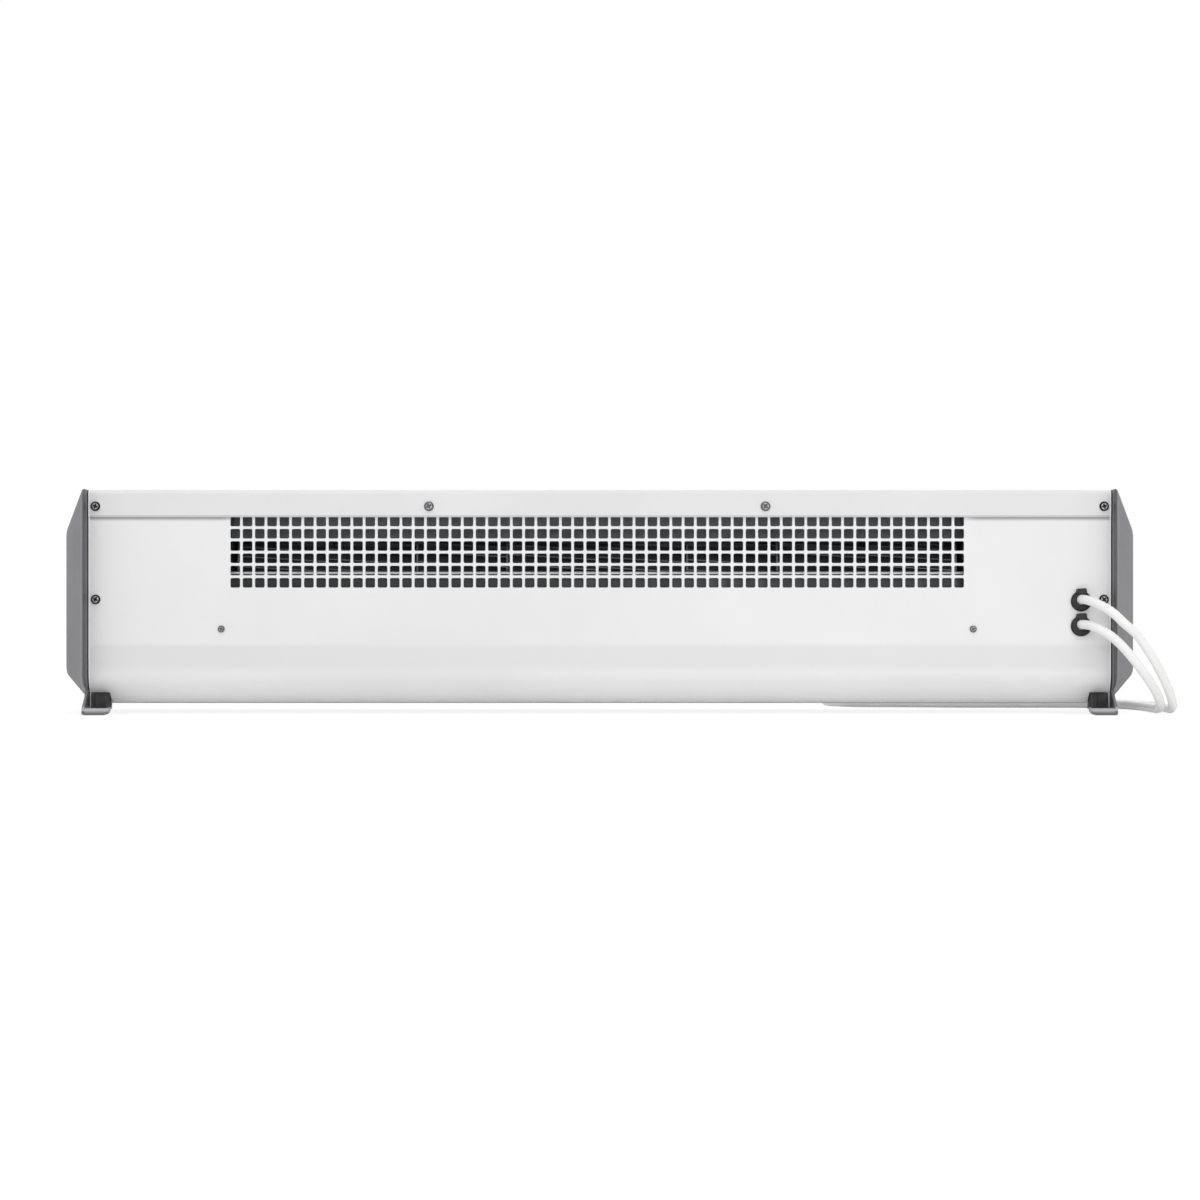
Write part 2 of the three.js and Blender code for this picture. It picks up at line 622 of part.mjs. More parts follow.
// A bulkhead stands across the case at each end of the fan, held by a small screw in its flange.
function bulkhead(side) {
  const inner = side < 0 ? WORKS_LEFT : WORKS_RIGHT;
  const outer = inner + side * PLATE;
  const plateCut = [inner - side * CUT_PAST, outer + side * CUT_PAST];
  const screwX = side < 0 ? SMALL_SCREW_XS[0] : SMALL_SCREW_XS[1];
  const plate = extrudeX(new THREE.Shape(insetOutline(CASE_CORNERS, SKIN)), inner, outer);
  const flangeLow = SMALL_SCREW_Z - BULKHEAD_FLANGE_BELOW;
  const flange = box(
    [inner + (side * PLATE) / 2, inner + side * FLANGE_WIDTH],
    [PANEL_INSIDE_Y, PANEL_INSIDE_Y + PLATE],
    [flangeLow, flangeLow + BULKHEAD_FLANGE_HEIGHT],
  );
  const holes = [
    barX(...plateCut, BULKHEAD_SHAFT_HOLE, FAN_Y, FAN_Z, ROUND_SIDES),
    barY(...FLANGE_CUT, SMALL_SCREW.shank + HOLE_GAP, screwX, SMALL_SCREW_Z),
    ...HEATER_SPOTS.map(([y, z]) =>
      barX(...plateCut, HEATER_ROD_RADIUS + HOLE_GAP, OUTLET_REAR_Y + y, CASE_BOTTOM + z),
    ),
  ];
  return cut(join(plate, flange), ...holes);
}

// A floor plate closes the case's underside beside the outlet.
function floorPlate(side) {
  const works = side < 0 ? WORKS_LEFT - PLATE - SEAT_GAP : WORKS_RIGHT + PLATE + SEAT_GAP;
  return box(
    [works, side * (CASE_END - PLATE - SEAT_GAP)],
    [OUTLET_REAR_Y - FLOOR_LAP, OUTLET_FRONT_Y + FLOOR_LAP],
    [FLOOR_INSIDE, FLOOR_INSIDE + SHEET],
  );
}

// A pan head in front of `face`, and its shank through the sheets behind.
function screw(size, face, x, z) {
  const front = face - SEAT_GAP;
  const profile = [
    [front - size.height, 0],
    [front - size.height, size.head * 0.62],
    [front - size.height * 0.55, size.head * 0.94],
    [front, size.head],
    [front, size.shank],
    [front + size.length, size.shank],
    [front + size.length, 0],
  ];
  const points = profile.map(([y, radius]) => new THREE.Vector2(radius, y));
  return facingOut(new THREE.LatheGeometry(points, SMALL_SIDES).translate(x, 0, z));
}

// ---------------------------------------------------------------- end caps and feet

function capHull(rim, rimXs, face, faceX) {
  const points = [];
  rimXs.forEach((x) => rim.forEach((p) => points.push(new THREE.Vector3(x, p.x, p.y))));
  face.forEach((p) => points.push(new THREE.Vector3(faceX, p.x, p.y)));
  return new ConvexGeometry(points);
}

// A foot is a side wall below the cap with a tongue: the rear one is turned in under the case,
// and the front one is turned out under the cap, over a rubber pad.
function foot(side, rear, front, neck, turnedIn) {
  const wallInner = CASE_END + SEAT_GAP * 2;
  const wallOuter = wallInner + FOOT_WALL;
  const root = turnedIn ? wallOuter : wallInner;
  const reach = turnedIn ? CASE_END - FOOT_REACH : CASE_END + FRONT_FOOT_REACH;
  const sole = turnedIn ? 0 : FRONT_PAD_HEIGHT + SEAT_GAP;
  const tongue = roundedPath([
    [side * root, sole, FOOT_OUTER_RADIUS],
    [side * root, FOOT_THICKNESS, 0],
    [side * reach, FOOT_THICKNESS, 0],
    [side * reach, sole, turnedIn ? FOOT_INNER_RADIUS : FRONT_FOOT_RADIUS],
  ]);
  const wall = new THREE.Shape(
    vectors([
      [rear, FOOT_WALL_LIFT],
      [front, FOOT_WALL_LIFT],
      [front, FOOT_WALL_HEIGHT],
      [rear + neck + FOOT_SHOULDER, FOOT_WALL_HEIGHT],
      [rear + neck, FOOT_WALL_HEIGHT - FOOT_SHOULDER],
      [rear, FOOT_THICKNESS],
    ]),
  );
  return [
    extrudeY(new THREE.Shape(tongue), rear, front),
    extrudeX(wall, side * wallInner, side * wallOuter),
  ];
}

function endCap(side) {
  const at = (offset) => side * (CASE_END + offset);
  const innerWall = CAP_INNER_FACE + CAP_INNER_WALL;
  const rim = roundedPath(CAP_CORNERS);
  const face = roundedPath(CAP_FACE_CORNERS);
  const outside = capHull(rim, [at(CAP_INNER_FACE), at(innerWall)], face, at(CAP_RISE));
  const inside = capHull(
    insetOutline(CAP_CORNERS, CAP_RIM_INSET, COARSE_ARC_STEP),
    [at(innerWall)],
    insetOutline(CAP_FACE_CORNERS, CAP_WALL, COARSE_ARC_STEP),
    at(CAP_RISE - CAP_WALL),
  );
  const window = new THREE.Shape(insetOutline(CASE_CORNERS, CAP_WINDOW_INSET, COARSE_ARC_STEP));
  const ribInset = CAP_WINDOW_INSET - CAP_RIB_WIDTH;
  const ribOutline = new THREE.Shape(insetOutline(CASE_CORNERS, ribInset, COARSE_ARC_STEP));
  const rib = extrudeX(ribOutline, at(SEAT_GAP), at(CAP_INNER_FACE + CAP_INNER_WALL / 2));
  const opening = extrudeX(window, at(0), at(innerWall + SEAT_GAP));
  const rearFoot = foot(side, CAP_REAR_Y, CAP_REAR_Y + REAR_FOOT_LENGTH, REAR_FOOT_NECK, true);
  const frontEnd = CAP_FRONT_Y - FRONT_FOOT_SETBACK;
  const frontFoot = foot(side, frontEnd - FRONT_FOOT_LENGTH, frontEnd, 0, false);
  const shell = cut(outside, inside);
  return cut(join(shell, rib, ...rearFoot, ...frontFoot), opening);
}

function rearFootBlock(side) {
  const outer = side * (CASE_END - PLATE - SEAT_GAP);
  const low = FOOT_THICKNESS + SEAT_GAP;
  const start = CAP_REAR_Y + BLOCK_RECESS;
  return box(
    [outer - side * BLOCK_TAB_GAP, outer - side * BLOCK_WIDTH],
    [start, start + BLOCK_LENGTH],
    [low, low + BLOCK_HEIGHT],
  );
}

function frontFootPad(side) {
  const outer = side * (CASE_END + FRONT_FOOT_REACH - FRONT_PAD_MARGIN);
  const start = CAP_FRONT_Y - FRONT_FOOT_SETBACK - FRONT_FOOT_LENGTH + FRONT_PAD_INSET;
  return box([outer, outer - side * FRONT_PAD_WIDTH], [start, start + FRONT_PAD_LENGTH], [0, FRONT_PAD_HEIGHT]);
}

// ---------------------------------------------------------------- air path

// The scroll starts above the intake, runs over the fan with a gap that grows evenly,
// and goes down the front to a fold on the case bottom.
function ductScroll() {
  const start = Math.atan2(SCROLL_START_HEIGHT, -SCROLL_START_DEPTH);
  const end = THREE.MathUtils.degToRad(SCROLL_END_ANGLE);
  const points = [];
  for (let i = 0; i <= SCROLL_STEPS; i += 1) {
    const part = i / SCROLL_STEPS;
    const angle = start + (end - start) * part;
    const radius = FAN_RADIUS + SCROLL_GAP + SCROLL_GROWTH * Math.min(1, (start - angle) / start);
    points.push(new THREE.Vector2(FAN_Y + radius * Math.cos(angle), FAN_Z + radius * Math.sin(angle)));
  }
  points.push(new THREE.Vector2(OUTLET_FRONT_Y, CASE_BOTTOM + OUTLET_THROAT));
  points.push(new THREE.Vector2(OUTLET_FRONT_Y, FLOOR_INSIDE));
  points.push(new THREE.Vector2(OUTLET_FRONT_Y + DUCT_FOOT, FLOOR_INSIDE));
  return extrudeX(sheetShape(points, SHEET), WORKS_LEFT + SEAT_GAP, WORKS_RIGHT - SEAT_GAP);
}

function ductRearWall() {
  const lipY = FAN_Y - LIP_DEPTH;
  const lipZ = FAN_Z + LIP_HEIGHT;
  const points = roundedPath([
    [lipY - LIP_FOLD, lipZ - LIP_FOLD, 0],
    [lipY - LIP_FOLD, lipZ, LIP_RADIUS],
    [lipY, lipZ, LIP_RADIUS],
    [lipY, lipZ - REAR_WALL_DROP, REAR_WALL_RADII[0]],
    [OUTLET_REAR_Y, CASE_BOTTOM + REAR_WALL_KNEE, REAR_WALL_RADII[1]],
    [OUTLET_REAR_Y, FLOOR_INSIDE, 0],
    [OUTLET_REAR_Y - DUCT_FOOT, FLOOR_INSIDE, 0],
  ]);
  return extrudeX(sheetShape(points, -SHEET), WORKS_LEFT + SEAT_GAP, WORKS_RIGHT - SEAT_GAP);
}

function bladeShape(index) {
  const outer = FAN_RADIUS - BLADE_INSET;
  const turn = (2 * Math.PI * index) / FAN_BLADES;
  const line = [0, 0.5, 1].map((part) => {
    const radius = outer - BLADE_DEPTH * (1 - part);
    const angle = turn + BLADE_SWEEP * (part + BLADE_BOW * 4 * part * (1 - part));
    return new THREE.Vector2(FAN_Y + radius * Math.cos(angle), FAN_Z + radius * Math.sin(angle));
  });
  return sheetShape(line, BLADE_THICKNESS);
}

function fanImpeller() {
  const inner = FAN_RADIUS - BLADE_DEPTH - RING_INSET;
  const hub = (discX, hubX, bore) =>
    cut(
      join(
        barX(discX, discX + Math.sign(hubX - discX) * FAN_DISC, FAN_RADIUS, FAN_Y, FAN_Z, ROUND_SIDES),
        barX(discX, hubX, FAN_HUB_RADIUS, FAN_Y, FAN_Z, SMALL_SIDES),
      ),
      barX(discX - (hubX - discX), hubX + (hubX - discX), bore, FAN_Y, FAN_Z, ROUND_SIDES),
    );
  const parts = [
    hub(FAN_LEFT, FAN_LEFT + FAN_HUB_LENGTH, SHAFT_RADIUS + SHAFT_CLEARANCE),
    hub(FAN_RIGHT, FAN_RIGHT - FAN_HUB_LENGTH, STUB_RADIUS + SHAFT_CLEARANCE),
  ];
  const spacing = (FAN_RIGHT - FAN_LEFT) / (FAN_RINGS + 1);
  for (let i = 1; i <= FAN_RINGS; i += 1) {
    const x = FAN_LEFT + i * spacing - FAN_DISC / 2;
    const ring = [[x, inner], [x + FAN_DISC, inner], [x + FAN_DISC, FAN_RADIUS], [x, FAN_RADIUS]];
    parts.push(turnedX(ring, FAN_Y, FAN_Z));
  }
  for (let i = 0; i < FAN_BLADES; i += 1) {
    parts.push(extrudeX(bladeShape(i), FAN_LEFT + FAN_DISC / 2, FAN_RIGHT - FAN_DISC / 2));
  }
  return join(...parts);
}

// ---------------------------------------------------------------- motor and bearing

function motorHousing() {
  const bore = SHAFT_RADIUS + SHAFT_CLEARANCE;
  const profile = [
    [MOTOR_LEFT, bore],
    [MOTOR_LEFT, MOTOR_RADIUS - MOTOR_EDGE],
    [MOTOR_LEFT + MOTOR_EDGE, MOTOR_RADIUS],
    [MOTOR_RIGHT - MOTOR_EDGE, MOTOR_RADIUS],
    [MOTOR_RIGHT, MOTOR_RADIUS - MOTOR_EDGE],
    [MOTOR_RIGHT, bore],
    [MOTOR_RIGHT - MOTOR_END_WALL, bore],
    [MOTOR_RIGHT - MOTOR_END_WALL, STATOR_BORE],
    [MOTOR_LEFT + MOTOR_END_WALL, STATOR_BORE],
    [MOTOR_LEFT + MOTOR_END_WALL, bore],
  ];
  return turnedX(profile, FAN_Y, FAN_Z);
}

function motorRotor() {
  const rotorLeft = MOTOR_LEFT + MOTOR_END_WALL + ROTOR_END_GAP;
  const rotorRight = MOTOR_RIGHT - MOTOR_END_WALL - ROTOR_END_GAP;
  const shaftEnd = FAN_LEFT + FAN_HUB_LENGTH - SHAFT_SHY;
  return join(
    barX(MOTOR_LEFT - SHAFT_TAIL, shaftEnd, SHAFT_RADIUS, FAN_Y, FAN_Z, ROUND_SIDES),
    barX(rotorLeft, rotorRight, ROTOR_RADIUS, FAN_Y, FAN_Z, ROUND_SIDES),
  );
}

function motorCradle() {
  const baseTop = FAN_Z - MOTOR_RADIUS - CRADLE_DROP;
  const base = [baseTop - CRADLE_SHEET, baseTop];
  const width = [FAN_Y - CRADLE_WIDTH / 2, FAN_Y + CRADLE_WIDTH / 2];
  const tabX = WORKS_LEFT - PLATE - SEAT_GAP;
  const legs = [MOTOR_LEFT + CRADLE_LEG_INSET, MOTOR_RIGHT - CRADLE_LEG_INSET].map((x) =>
    box([x - CRADLE_SHEET / 2, x + CRADLE_SHEET / 2], width, [base[0], FAN_Z - CRADLE_SEAT_DROP]),
  );
  const plate = box([MOTOR_LEFT, tabX], width, base);
  const tab = box([tabX - CRADLE_SHEET, tabX], width, [base[0] - CRADLE_TAB, base[1]]);
  const seatXs = [MOTOR_LEFT - CUT_PAST, MOTOR_RIGHT + CUT_PAST];
  const seat = barX(...seatXs, MOTOR_RADIUS + SEAT_GAP, FAN_Y, FAN_Z, ROUND_SIDES);
  return cut(join(plate, tab, ...legs), seat);
}

// The strap goes over the motor and stands on the cradle's base with two feet.
function motorStrap() {
  const inner = MOTOR_RADIUS + SEAT_GAP;
  const outer = inner + STRAP_SHEET;
  const middle = (MOTOR_LEFT + MOTOR_RIGHT) / 2;
  const baseTop = FAN_Z - MOTOR_RADIUS - CRADLE_DROP + SEAT_GAP;
  const arch = new THREE.Shape();
  arch.moveTo(FAN_Y + outer, baseTop);
  arch.lineTo(FAN_Y + outer, FAN_Z);
  arch.absarc(FAN_Y, FAN_Z, outer, 0, Math.PI, false);
  arch.lineTo(FAN_Y - outer, baseTop);
  arch.lineTo(FAN_Y - inner, baseTop);
  arch.lineTo(FAN_Y - inner, FAN_Z);
  arch.absarc(FAN_Y, FAN_Z, inner, Math.PI, 0, true);
  arch.lineTo(FAN_Y + inner, baseTop);
  const points = arch.getPoints(STRAP_STEPS);
  return extrudeX(new THREE.Shape(points), middle - STRAP_WIDTH / 2, middle + STRAP_WIDTH / 2);
}

function capacitor() {
  const left = -CASE_END + PLATE + SEAT_GAP;
  const low = CASE_BOTTOM + CAPACITOR.above;
  return box(
    [left, left + CAPACITOR.length],
    [FAN_Y - CAPACITOR.width / 2, FAN_Y + CAPACITOR.width / 2],
    [low, low + CAPACITOR.height],
  );
}

function stubShaft() {
  const start = FAN_RIGHT - FAN_HUB_LENGTH + SHAFT_SHY;
  return barX(start, WORKS_RIGHT + PLATE + HOLDER_LENGTH / 2, STUB_RADIUS, FAN_Y, FAN_Z, ROUND_SIDES);
}

function bearingHolder() {
  const flangeX = WORKS_RIGHT + PLATE + SEAT_GAP;
  const left = flangeX + HOLDER_FLANGE - HOLDER_LENGTH;
  const bore = BEARING_RADIUS + SEAT_GAP;
  const profile = [
    [left, bore],
    [left, HOLDER_RADIUS],
    [flangeX, HOLDER_RADIUS],
    [flangeX, HOLDER_FLANGE_RADIUS],
    [flangeX + HOLDER_FLANGE, HOLDER_FLANGE_RADIUS],
    [flangeX + HOLDER_FLANGE, bore],
  ];
  return turnedX(profile, FAN_Y, FAN_Z);
}

function bearing() {
  const right = WORKS_RIGHT + PLATE + SEAT_GAP + HOLDER_FLANGE;
  const left = right - HOLDER_LENGTH;
  const bore = STUB_RADIUS + SHAFT_CLEARANCE;
  const profile = [[left, bore], [left, BEARING_RADIUS], [right, BEARING_RADIUS], [right, bore]];
  return turnedX(profile, FAN_Y, FAN_Z);
}

// ---------------------------------------------------------------- heating and electrics

function heaterElement([y, z]) {
  const atY = OUTLET_REAR_Y + y;
  const atZ = CASE_BOTTOM + z;
  const ends = [WORKS_LEFT - PLATE - HEATER_TERMINAL, WORKS_RIGHT + PLATE + HEATER_TERMINAL];
  return join(
    barX(ends[0], ends[1], HEATER_ROD_RADIUS, atY, atZ),
    barX(WORKS_LEFT + HEATER_FIN_INSET, WORKS_RIGHT - HEATER_FIN_INSET, HEATER_FIN_RADIUS, atY, atZ),
  );
}

function thermalCutout() {
  const start = WORKS_RIGHT + PLATE + SEAT_GAP;
  const end = start + CUTOUT.height;
  return barX(start, end, CUTOUT.radius, PANEL_Y + CUTOUT.fromPanel, CASE_BOTTOM + CUTOUT.above);
}

function electricsPlate() {
  return box(
    [WORKS_RIGHT + PLATE + SEAT_GAP, CASE_END - PLATE - SEAT_GAP],
    [ELECTRICS_Y, ELECTRICS_Y + PLATE],
    [CASE_BOTTOM + ELECTRICS_LOW, CASE_BOTTOM + ELECTRICS_HIGH],
  );
}

function terminalBlock() {
  const left = WORKS_RIGHT + TERMINALS.inset;
  const face = ELECTRICS_Y - SEAT_GAP;
  const low = CASE_BOTTOM + TERMINALS.above;
  const front = face - TERMINALS.depth;
  const body = box([left, left + TERMINALS.width], [front, face], [low, low + TERMINALS.height]);
  const slots = [];
  for (let i = 1; i < TERMINALS.ways; i += 1) {
    const x = left + (i * TERMINALS.width) / TERMINALS.ways;
    slots.push(
      box(
        [x - TERMINALS.slot / 2, x + TERMINALS.slot / 2],
        [front - CUT_PAST, front + TERMINALS.cut],
        [low - CUT_PAST, low + TERMINALS.height + CUT_PAST],
      ),
    );
  }
  return cut(body, ...slots);
}

const BOARD_LEFT = WORKS_RIGHT + BOARD.inset;
const BOARD_BACK = ELECTRICS_Y - SEAT_GAP - BOARD.standoff;
const BOARD_LOW = CASE_BOTTOM + BOARD.above;

function controlBoard() {
  const board = box(
    [BOARD_LEFT, BOARD_LEFT + BOARD.width],
    [BOARD_BACK - BOARD.thickness, BOARD_BACK],
    [BOARD_LOW, BOARD_LOW + BOARD.height],
  );
  const legs = [];
  const legRear = BOARD_BACK - BOARD.thickness / 2;
  [STANDOFF.inset, BOARD.width - STANDOFF.inset].forEach((x) =>
    [STANDOFF.inset, BOARD.height - STANDOFF.inset].forEach((z) =>
      legs.push(barY(legRear, ELECTRICS_Y - SEAT_GAP, STANDOFF.radius, BOARD_LEFT + x, BOARD_LOW + z)),
    ),
  );
  return join(board, ...legs);
}

function relay(index) {
  const middle = BOARD_LEFT + BOARD.width / 2 + (index - 0.5) * RELAY.spacing;
  const back = BOARD_BACK - BOARD.thickness - SEAT_GAP;
  const low = BOARD_LOW + BOARD.height / 2 - RELAY.height / 2;
  return box(
    [middle - RELAY.width / 2, middle + RELAY.width / 2],
    [back - RELAY.depth, back],
    [low, low + RELAY.height],
  );
}

// ---------------------------------------------------------------- outlet

const FRAME_LEFT = WORKS_LEFT + SEAT_GAP;
const FRAME_RIGHT = WORKS_RIGHT - SEAT_GAP;
const VANE_Z = CASE_BOTTOM + VANE_PIVOT_HEIGHT;
const VANE_LEFT = FRAME_LEFT + FRAME_WALL + VANE_END_GAP;
const VANE_RIGHT = FRAME_RIGHT - FRAME_WALL - VANE_END_GAP;
const FRAME_INSIDE_REAR = OUTLET_REAR_Y + SEAT_GAP + FRAME_WALL;
const FRAME_INSIDE_FRONT = OUTLET_FRONT_Y - SEAT_GAP - FRAME_WALL;
const CRANK_Z = VANE_Z + VANE_CRANK;
const FRAME_CUT = FRAME_WALL + CUT_PAST;

function vaneY(index) {
  const spacing = (FRAME_INSIDE_FRONT - FRAME_INSIDE_REAR) / VANE_COUNT;
  return FRAME_INSIDE_REAR + spacing * (index + 0.5);
}

const VANE_YS = Array.from({ length: VANE_COUNT }, (_, index) => vaneY(index));

function outletFrame() {
  const zs = [CASE_BOTTOM + SEAT_GAP, CASE_BOTTOM + SEAT_GAP + FRAME_HEIGHT];
  const outer = box([FRAME_LEFT, FRAME_RIGHT], [OUTLET_REAR_Y + SEAT_GAP, OUTLET_FRONT_Y - SEAT_GAP], zs);
  const inner = box(
    [FRAME_LEFT + FRAME_WALL, FRAME_RIGHT - FRAME_WALL],
    [FRAME_INSIDE_REAR, FRAME_INSIDE_FRONT],
    [zs[0] - CUT_PAST, zs[1] + CUT_PAST],
  );
  const holes = [];
  VANE_YS.forEach((y) =>
    [FRAME_LEFT, FRAME_RIGHT].forEach((x) =>
      holes.push(barX(x - FRAME_CUT, x + FRAME_CUT, VANE_PIVOT_RADIUS + SHAFT_CLEARANCE, y, VANE_Z)),
    ),
  );
  return cut(outer, inner, ...holes);
}

// A vane is a long slim blade with a pivot pin at each end, and a crank pin for the link.
function outletVane(y) {
  const half = VANE_CHORD / 2;
  const thick = VANE_THICKNESS / 2;
  const blade = new THREE.Shape(
    vectors([
      [y, VANE_Z - half],
      [y + thick, VANE_Z - half + VANE_TAPER.low],
      [y + thick, VANE_Z + half - VANE_TAPER.high],
      [y, VANE_Z + half],
      [y - thick, VANE_Z + half - VANE_TAPER.high],
      [y - thick, VANE_Z - half + VANE_TAPER.low],
    ]),
  );
  const pinReach = FRAME_WALL + VANE_END_GAP;
  const crankEnd = VANE_LEFT - LINK_FROM_VANE - LINK_THICKNESS - CRANK_PROUD;
  return join(
    extrudeX(blade, VANE_LEFT, VANE_RIGHT),
    barX(VANE_LEFT - pinReach, VANE_LEFT + VANE_GRIP, VANE_PIVOT_RADIUS, y, VANE_Z),
    barX(VANE_RIGHT - VANE_GRIP, VANE_RIGHT + pinReach, VANE_PIVOT_RADIUS, y, VANE_Z),
    barX(crankEnd, VANE_LEFT + VANE_GRIP, VANE_CRANK_RADIUS, y, CRANK_Z),
  );
}

function vaneLink() {
  const xs = [VANE_LEFT - LINK_FROM_VANE - LINK_THICKNESS, VANE_LEFT - LINK_FROM_VANE];
  const ends = [VANE_YS[0] - LINK_HALF_HEIGHT, VANE_YS[VANE_COUNT - 1] + LINK_HALF_HEIGHT];
  const bar = box(xs, ends, [CRANK_Z - LINK_HALF_HEIGHT, CRANK_Z + LINK_HALF_HEIGHT]);
  const bores = VANE_YS.map((y) =>
    barX(xs[0] - CUT_PAST, xs[1] + CUT_PAST, VANE_CRANK_RADIUS + LINK_CLEARANCE, y, CRANK_Z),
  );
  return cut(bar, ...bores);
}

// ---------------------------------------------------------------- cords

// The free stretch of each cord, point by point, from its bushing to its coil.
// The first number of each point is its x from the end of the case.
const SUPPLY_ROUTE = [
  [-29.4, -68.8, 112.6],
  [-29.4, -74, 112.6],
  [-28.1, -84, 112.2],
  [-24.5, -93.5, 110.7],
  [-19, -101.5, 107.9],
  [-12.2, -107.7, 103.5],
  [-4.8, -111.6, 97.7],
  [2.6, -112.9, 90.4],
  [16, -112.5, 78.4],
  [26, -110.8, 65.1],
  [34.4, -107.3, 52.6],
  [41.6, -101.8, 40.9],
  [48, -94.4, 30.3],
  [53.6, -85, 21],
  [58.4, -72.5, 12.9],
  [62, -56.5, 7.4],
  [64, -37, 4.8],
  [64.8, -15, 4.6],
  [64.6, 10, 4.6],
  [62, 38, 4.6],
  [54.5, 66, 4.6],
  [39, 90, 4.6],
  [16, 105.5, 4.6],
  [-12, 111, 4.6],
  [-42, 111, 4.6],
  [-65.7, 111, 4.6],
];
const CONTROL_ROUTE = [
  [-29.4, -68.8, 88.2],
  [-29.4, -74, 88.2],
  [-28.1, -83.8, 88],
  [-24.4, -93, 87.1],
  [-18.8, -100.8, 84.3],
  [-11.8, -106.9, 79.8],
  [-4.2, -110.6, 73.6],
  [3.3, -111.9, 66],
  [13.6, -110.6, 54.2],
  [22.4, -108, 43.2],
  [30, -103.6, 33.2],
  [36.6, -96.6, 24.6],
  [42, -87, 17.1],
  [46.2, -74, 11],
  [49, -58, 6.8],
  [50.2, -38, 4.9],
  [50.6, -15, 4.6],
  [50, 8, 4.6],
  [47, 33, 4.6],
  [39, 57, 4.6],
  [25, 77.5, 4.6],
  [4, 91.5, 4.6],
  [-23, 97.4, 4.6],
  [-55, 98.2, 4.6],
  [-90, 98.2, 4.6],
  [-125, 99.4, 4.6],
  [-155, 103.6, 4.6],
  [-175, 108.4, 4.6],
  [-189, 110.9, 4.6],
  [-198.7, 111, 4.6],
];
// Inside the case, from each bushing's outer face to the terminals, in the same way.
const SUPPLY_TAIL = [
  [-29.4, -68.5, 112.6],
  [-29.4, -52, 112.6],
  [-30.6, -40, 108],
  [-37, -29, 93],
  [-46, -18, 74],
  [-51.4, -9, 64],
  [-52.4, -1, 60.3],
  [-52.5, 8.4, 60],
];
const CONTROL_TAIL = [
  [-29.4, -68.5, 88.2],
  [-29.4, -52, 88.2],
  [-35, -42, 84],
  [-54, -37, 74],
  [-74, -26, 65],
  [-84, -11, 60.6],
  [-85.4, -1, 60],
  [-85.5, 8.4, 60],
];

function tubeAlong(points, radius, sides, steps) {
  const curve = new THREE.CatmullRomCurve3(
    points.map((p) => new THREE.Vector3(...p)),
    false,
    "centripetal",
  );
  const section = roundSection(radius, sides);
  return new THREE.ExtrudeGeometry(section, { steps, extrudePath: curve, bevelEnabled: false });
}

function cordTube(route) {
  const points = route.map(([x, y, z]) => [CASE_END + x, y, z]);
  let length = 0;
  points.slice(1).forEach((p, i) => {
    length += new THREE.Vector3(...p).distanceTo(new THREE.Vector3(...points[i]));
  });
  return tubeAlong(points, CORD_RADIUS, CORD_SIDES, Math.ceil(length / CORD_STEP));
}

// A coil winds in on the surface, climbs a layer in the half turn where it reverses,
// and winds out again on top. Its ends run straight for one cord diameter.
function coilPoints(centreX) {
  const turns = 2 * COIL_TURNS_IN + 0.5;
  const straight = 2 * CORD_RADIUS;
  const points = [[centreX + straight, COIL_Y - COIL_RADIUS, CORD_REST]];
  const count = Math.round(turns * COIL_STEPS);
  for (let i = 0; i <= count; i += 1) {
    const turn = (turns * i) / count;
    const fromEnd = Math.min(turn, turns - turn);
    const radius = COIL_RADIUS - COIL_PITCH * fromEnd;
    const climb = THREE.MathUtils.smoothstep(turn, COIL_TURNS_IN, COIL_TURNS_IN + 0.5);
    const angle = -Math.PI / 2 - 2 * Math.PI * turn;
    points.push([
      centreX + radius * Math.cos(angle),
      COIL_Y + radius * Math.sin(angle),
      CORD_REST + COIL_PITCH * climb,
    ]);
  }
  points.push([centreX - straight, COIL_Y - COIL_RADIUS, CORD_REST + COIL_PITCH]);
  return points;
}

// The least distance between the surfaces of two stretches of one coil that aren't neighbours.
function leastGap(points) {
  const curve = new THREE.CatmullRomCurve3(points.map((p) => new THREE.Vector3(...p)), false, "centripetal");
  const samples = curve.getSpacedPoints(600);
  const step = curve.getLength() / 600;
  const apart = Math.ceil((8 * CORD_RADIUS) / step);
  let least = Infinity;
  samples.forEach((a, i) => {
    for (let j = i + apart; j < samples.length; j += 1) least = Math.min(least, a.distanceTo(samples[j]));
  });
  return least - 2 * CORD_RADIUS;
}

function cordCoil(name, centreX) {
  const points = coilPoints(centreX);
  console.log(name + ": least gap to itself " + leastGap(points).toFixed(2) + " mm");
  return tubeAlong(points, CORD_RADIUS, COIL_SIDES, points.length - 1);
}

// The cord's stripped end: the sheath, three cores out of it, and a ferrule on each.
function cordEnd(centreX) {
  const cores = 3;
  const start = centreX - 2 * CORD_RADIUS - SEAT_GAP;
  const y = COIL_Y - COIL_RADIUS;
  const z = CORD_REST + COIL_PITCH;
  const parts = [barX(start - SHEATH_END, start, CORD_RADIUS, y, z, CORD_SIDES)];
  for (let i = 0; i < cores; i += 1) {
    const angle = Math.PI / 2 + (2 * Math.PI * i) / cores;
    const coreY = y + CORE_SPREAD * Math.cos(angle);
    const coreZ = z + CORE_SPREAD * Math.sin(angle);
    const coreEnd = start - SHEATH_END - CORE_LENGTH;
    parts.push(barX(coreEnd, start - SHEATH_END / 2, CORE_RADIUS, coreY, coreZ, CORE_SIDES));
    const ferrule = [coreEnd - FERRULE_LENGTH, coreEnd + FERRULE_LENGTH / 3];
    parts.push(barX(...ferrule, FERRULE_RADIUS, coreY, coreZ, CORE_SIDES));
  }
  return join(...parts);
}

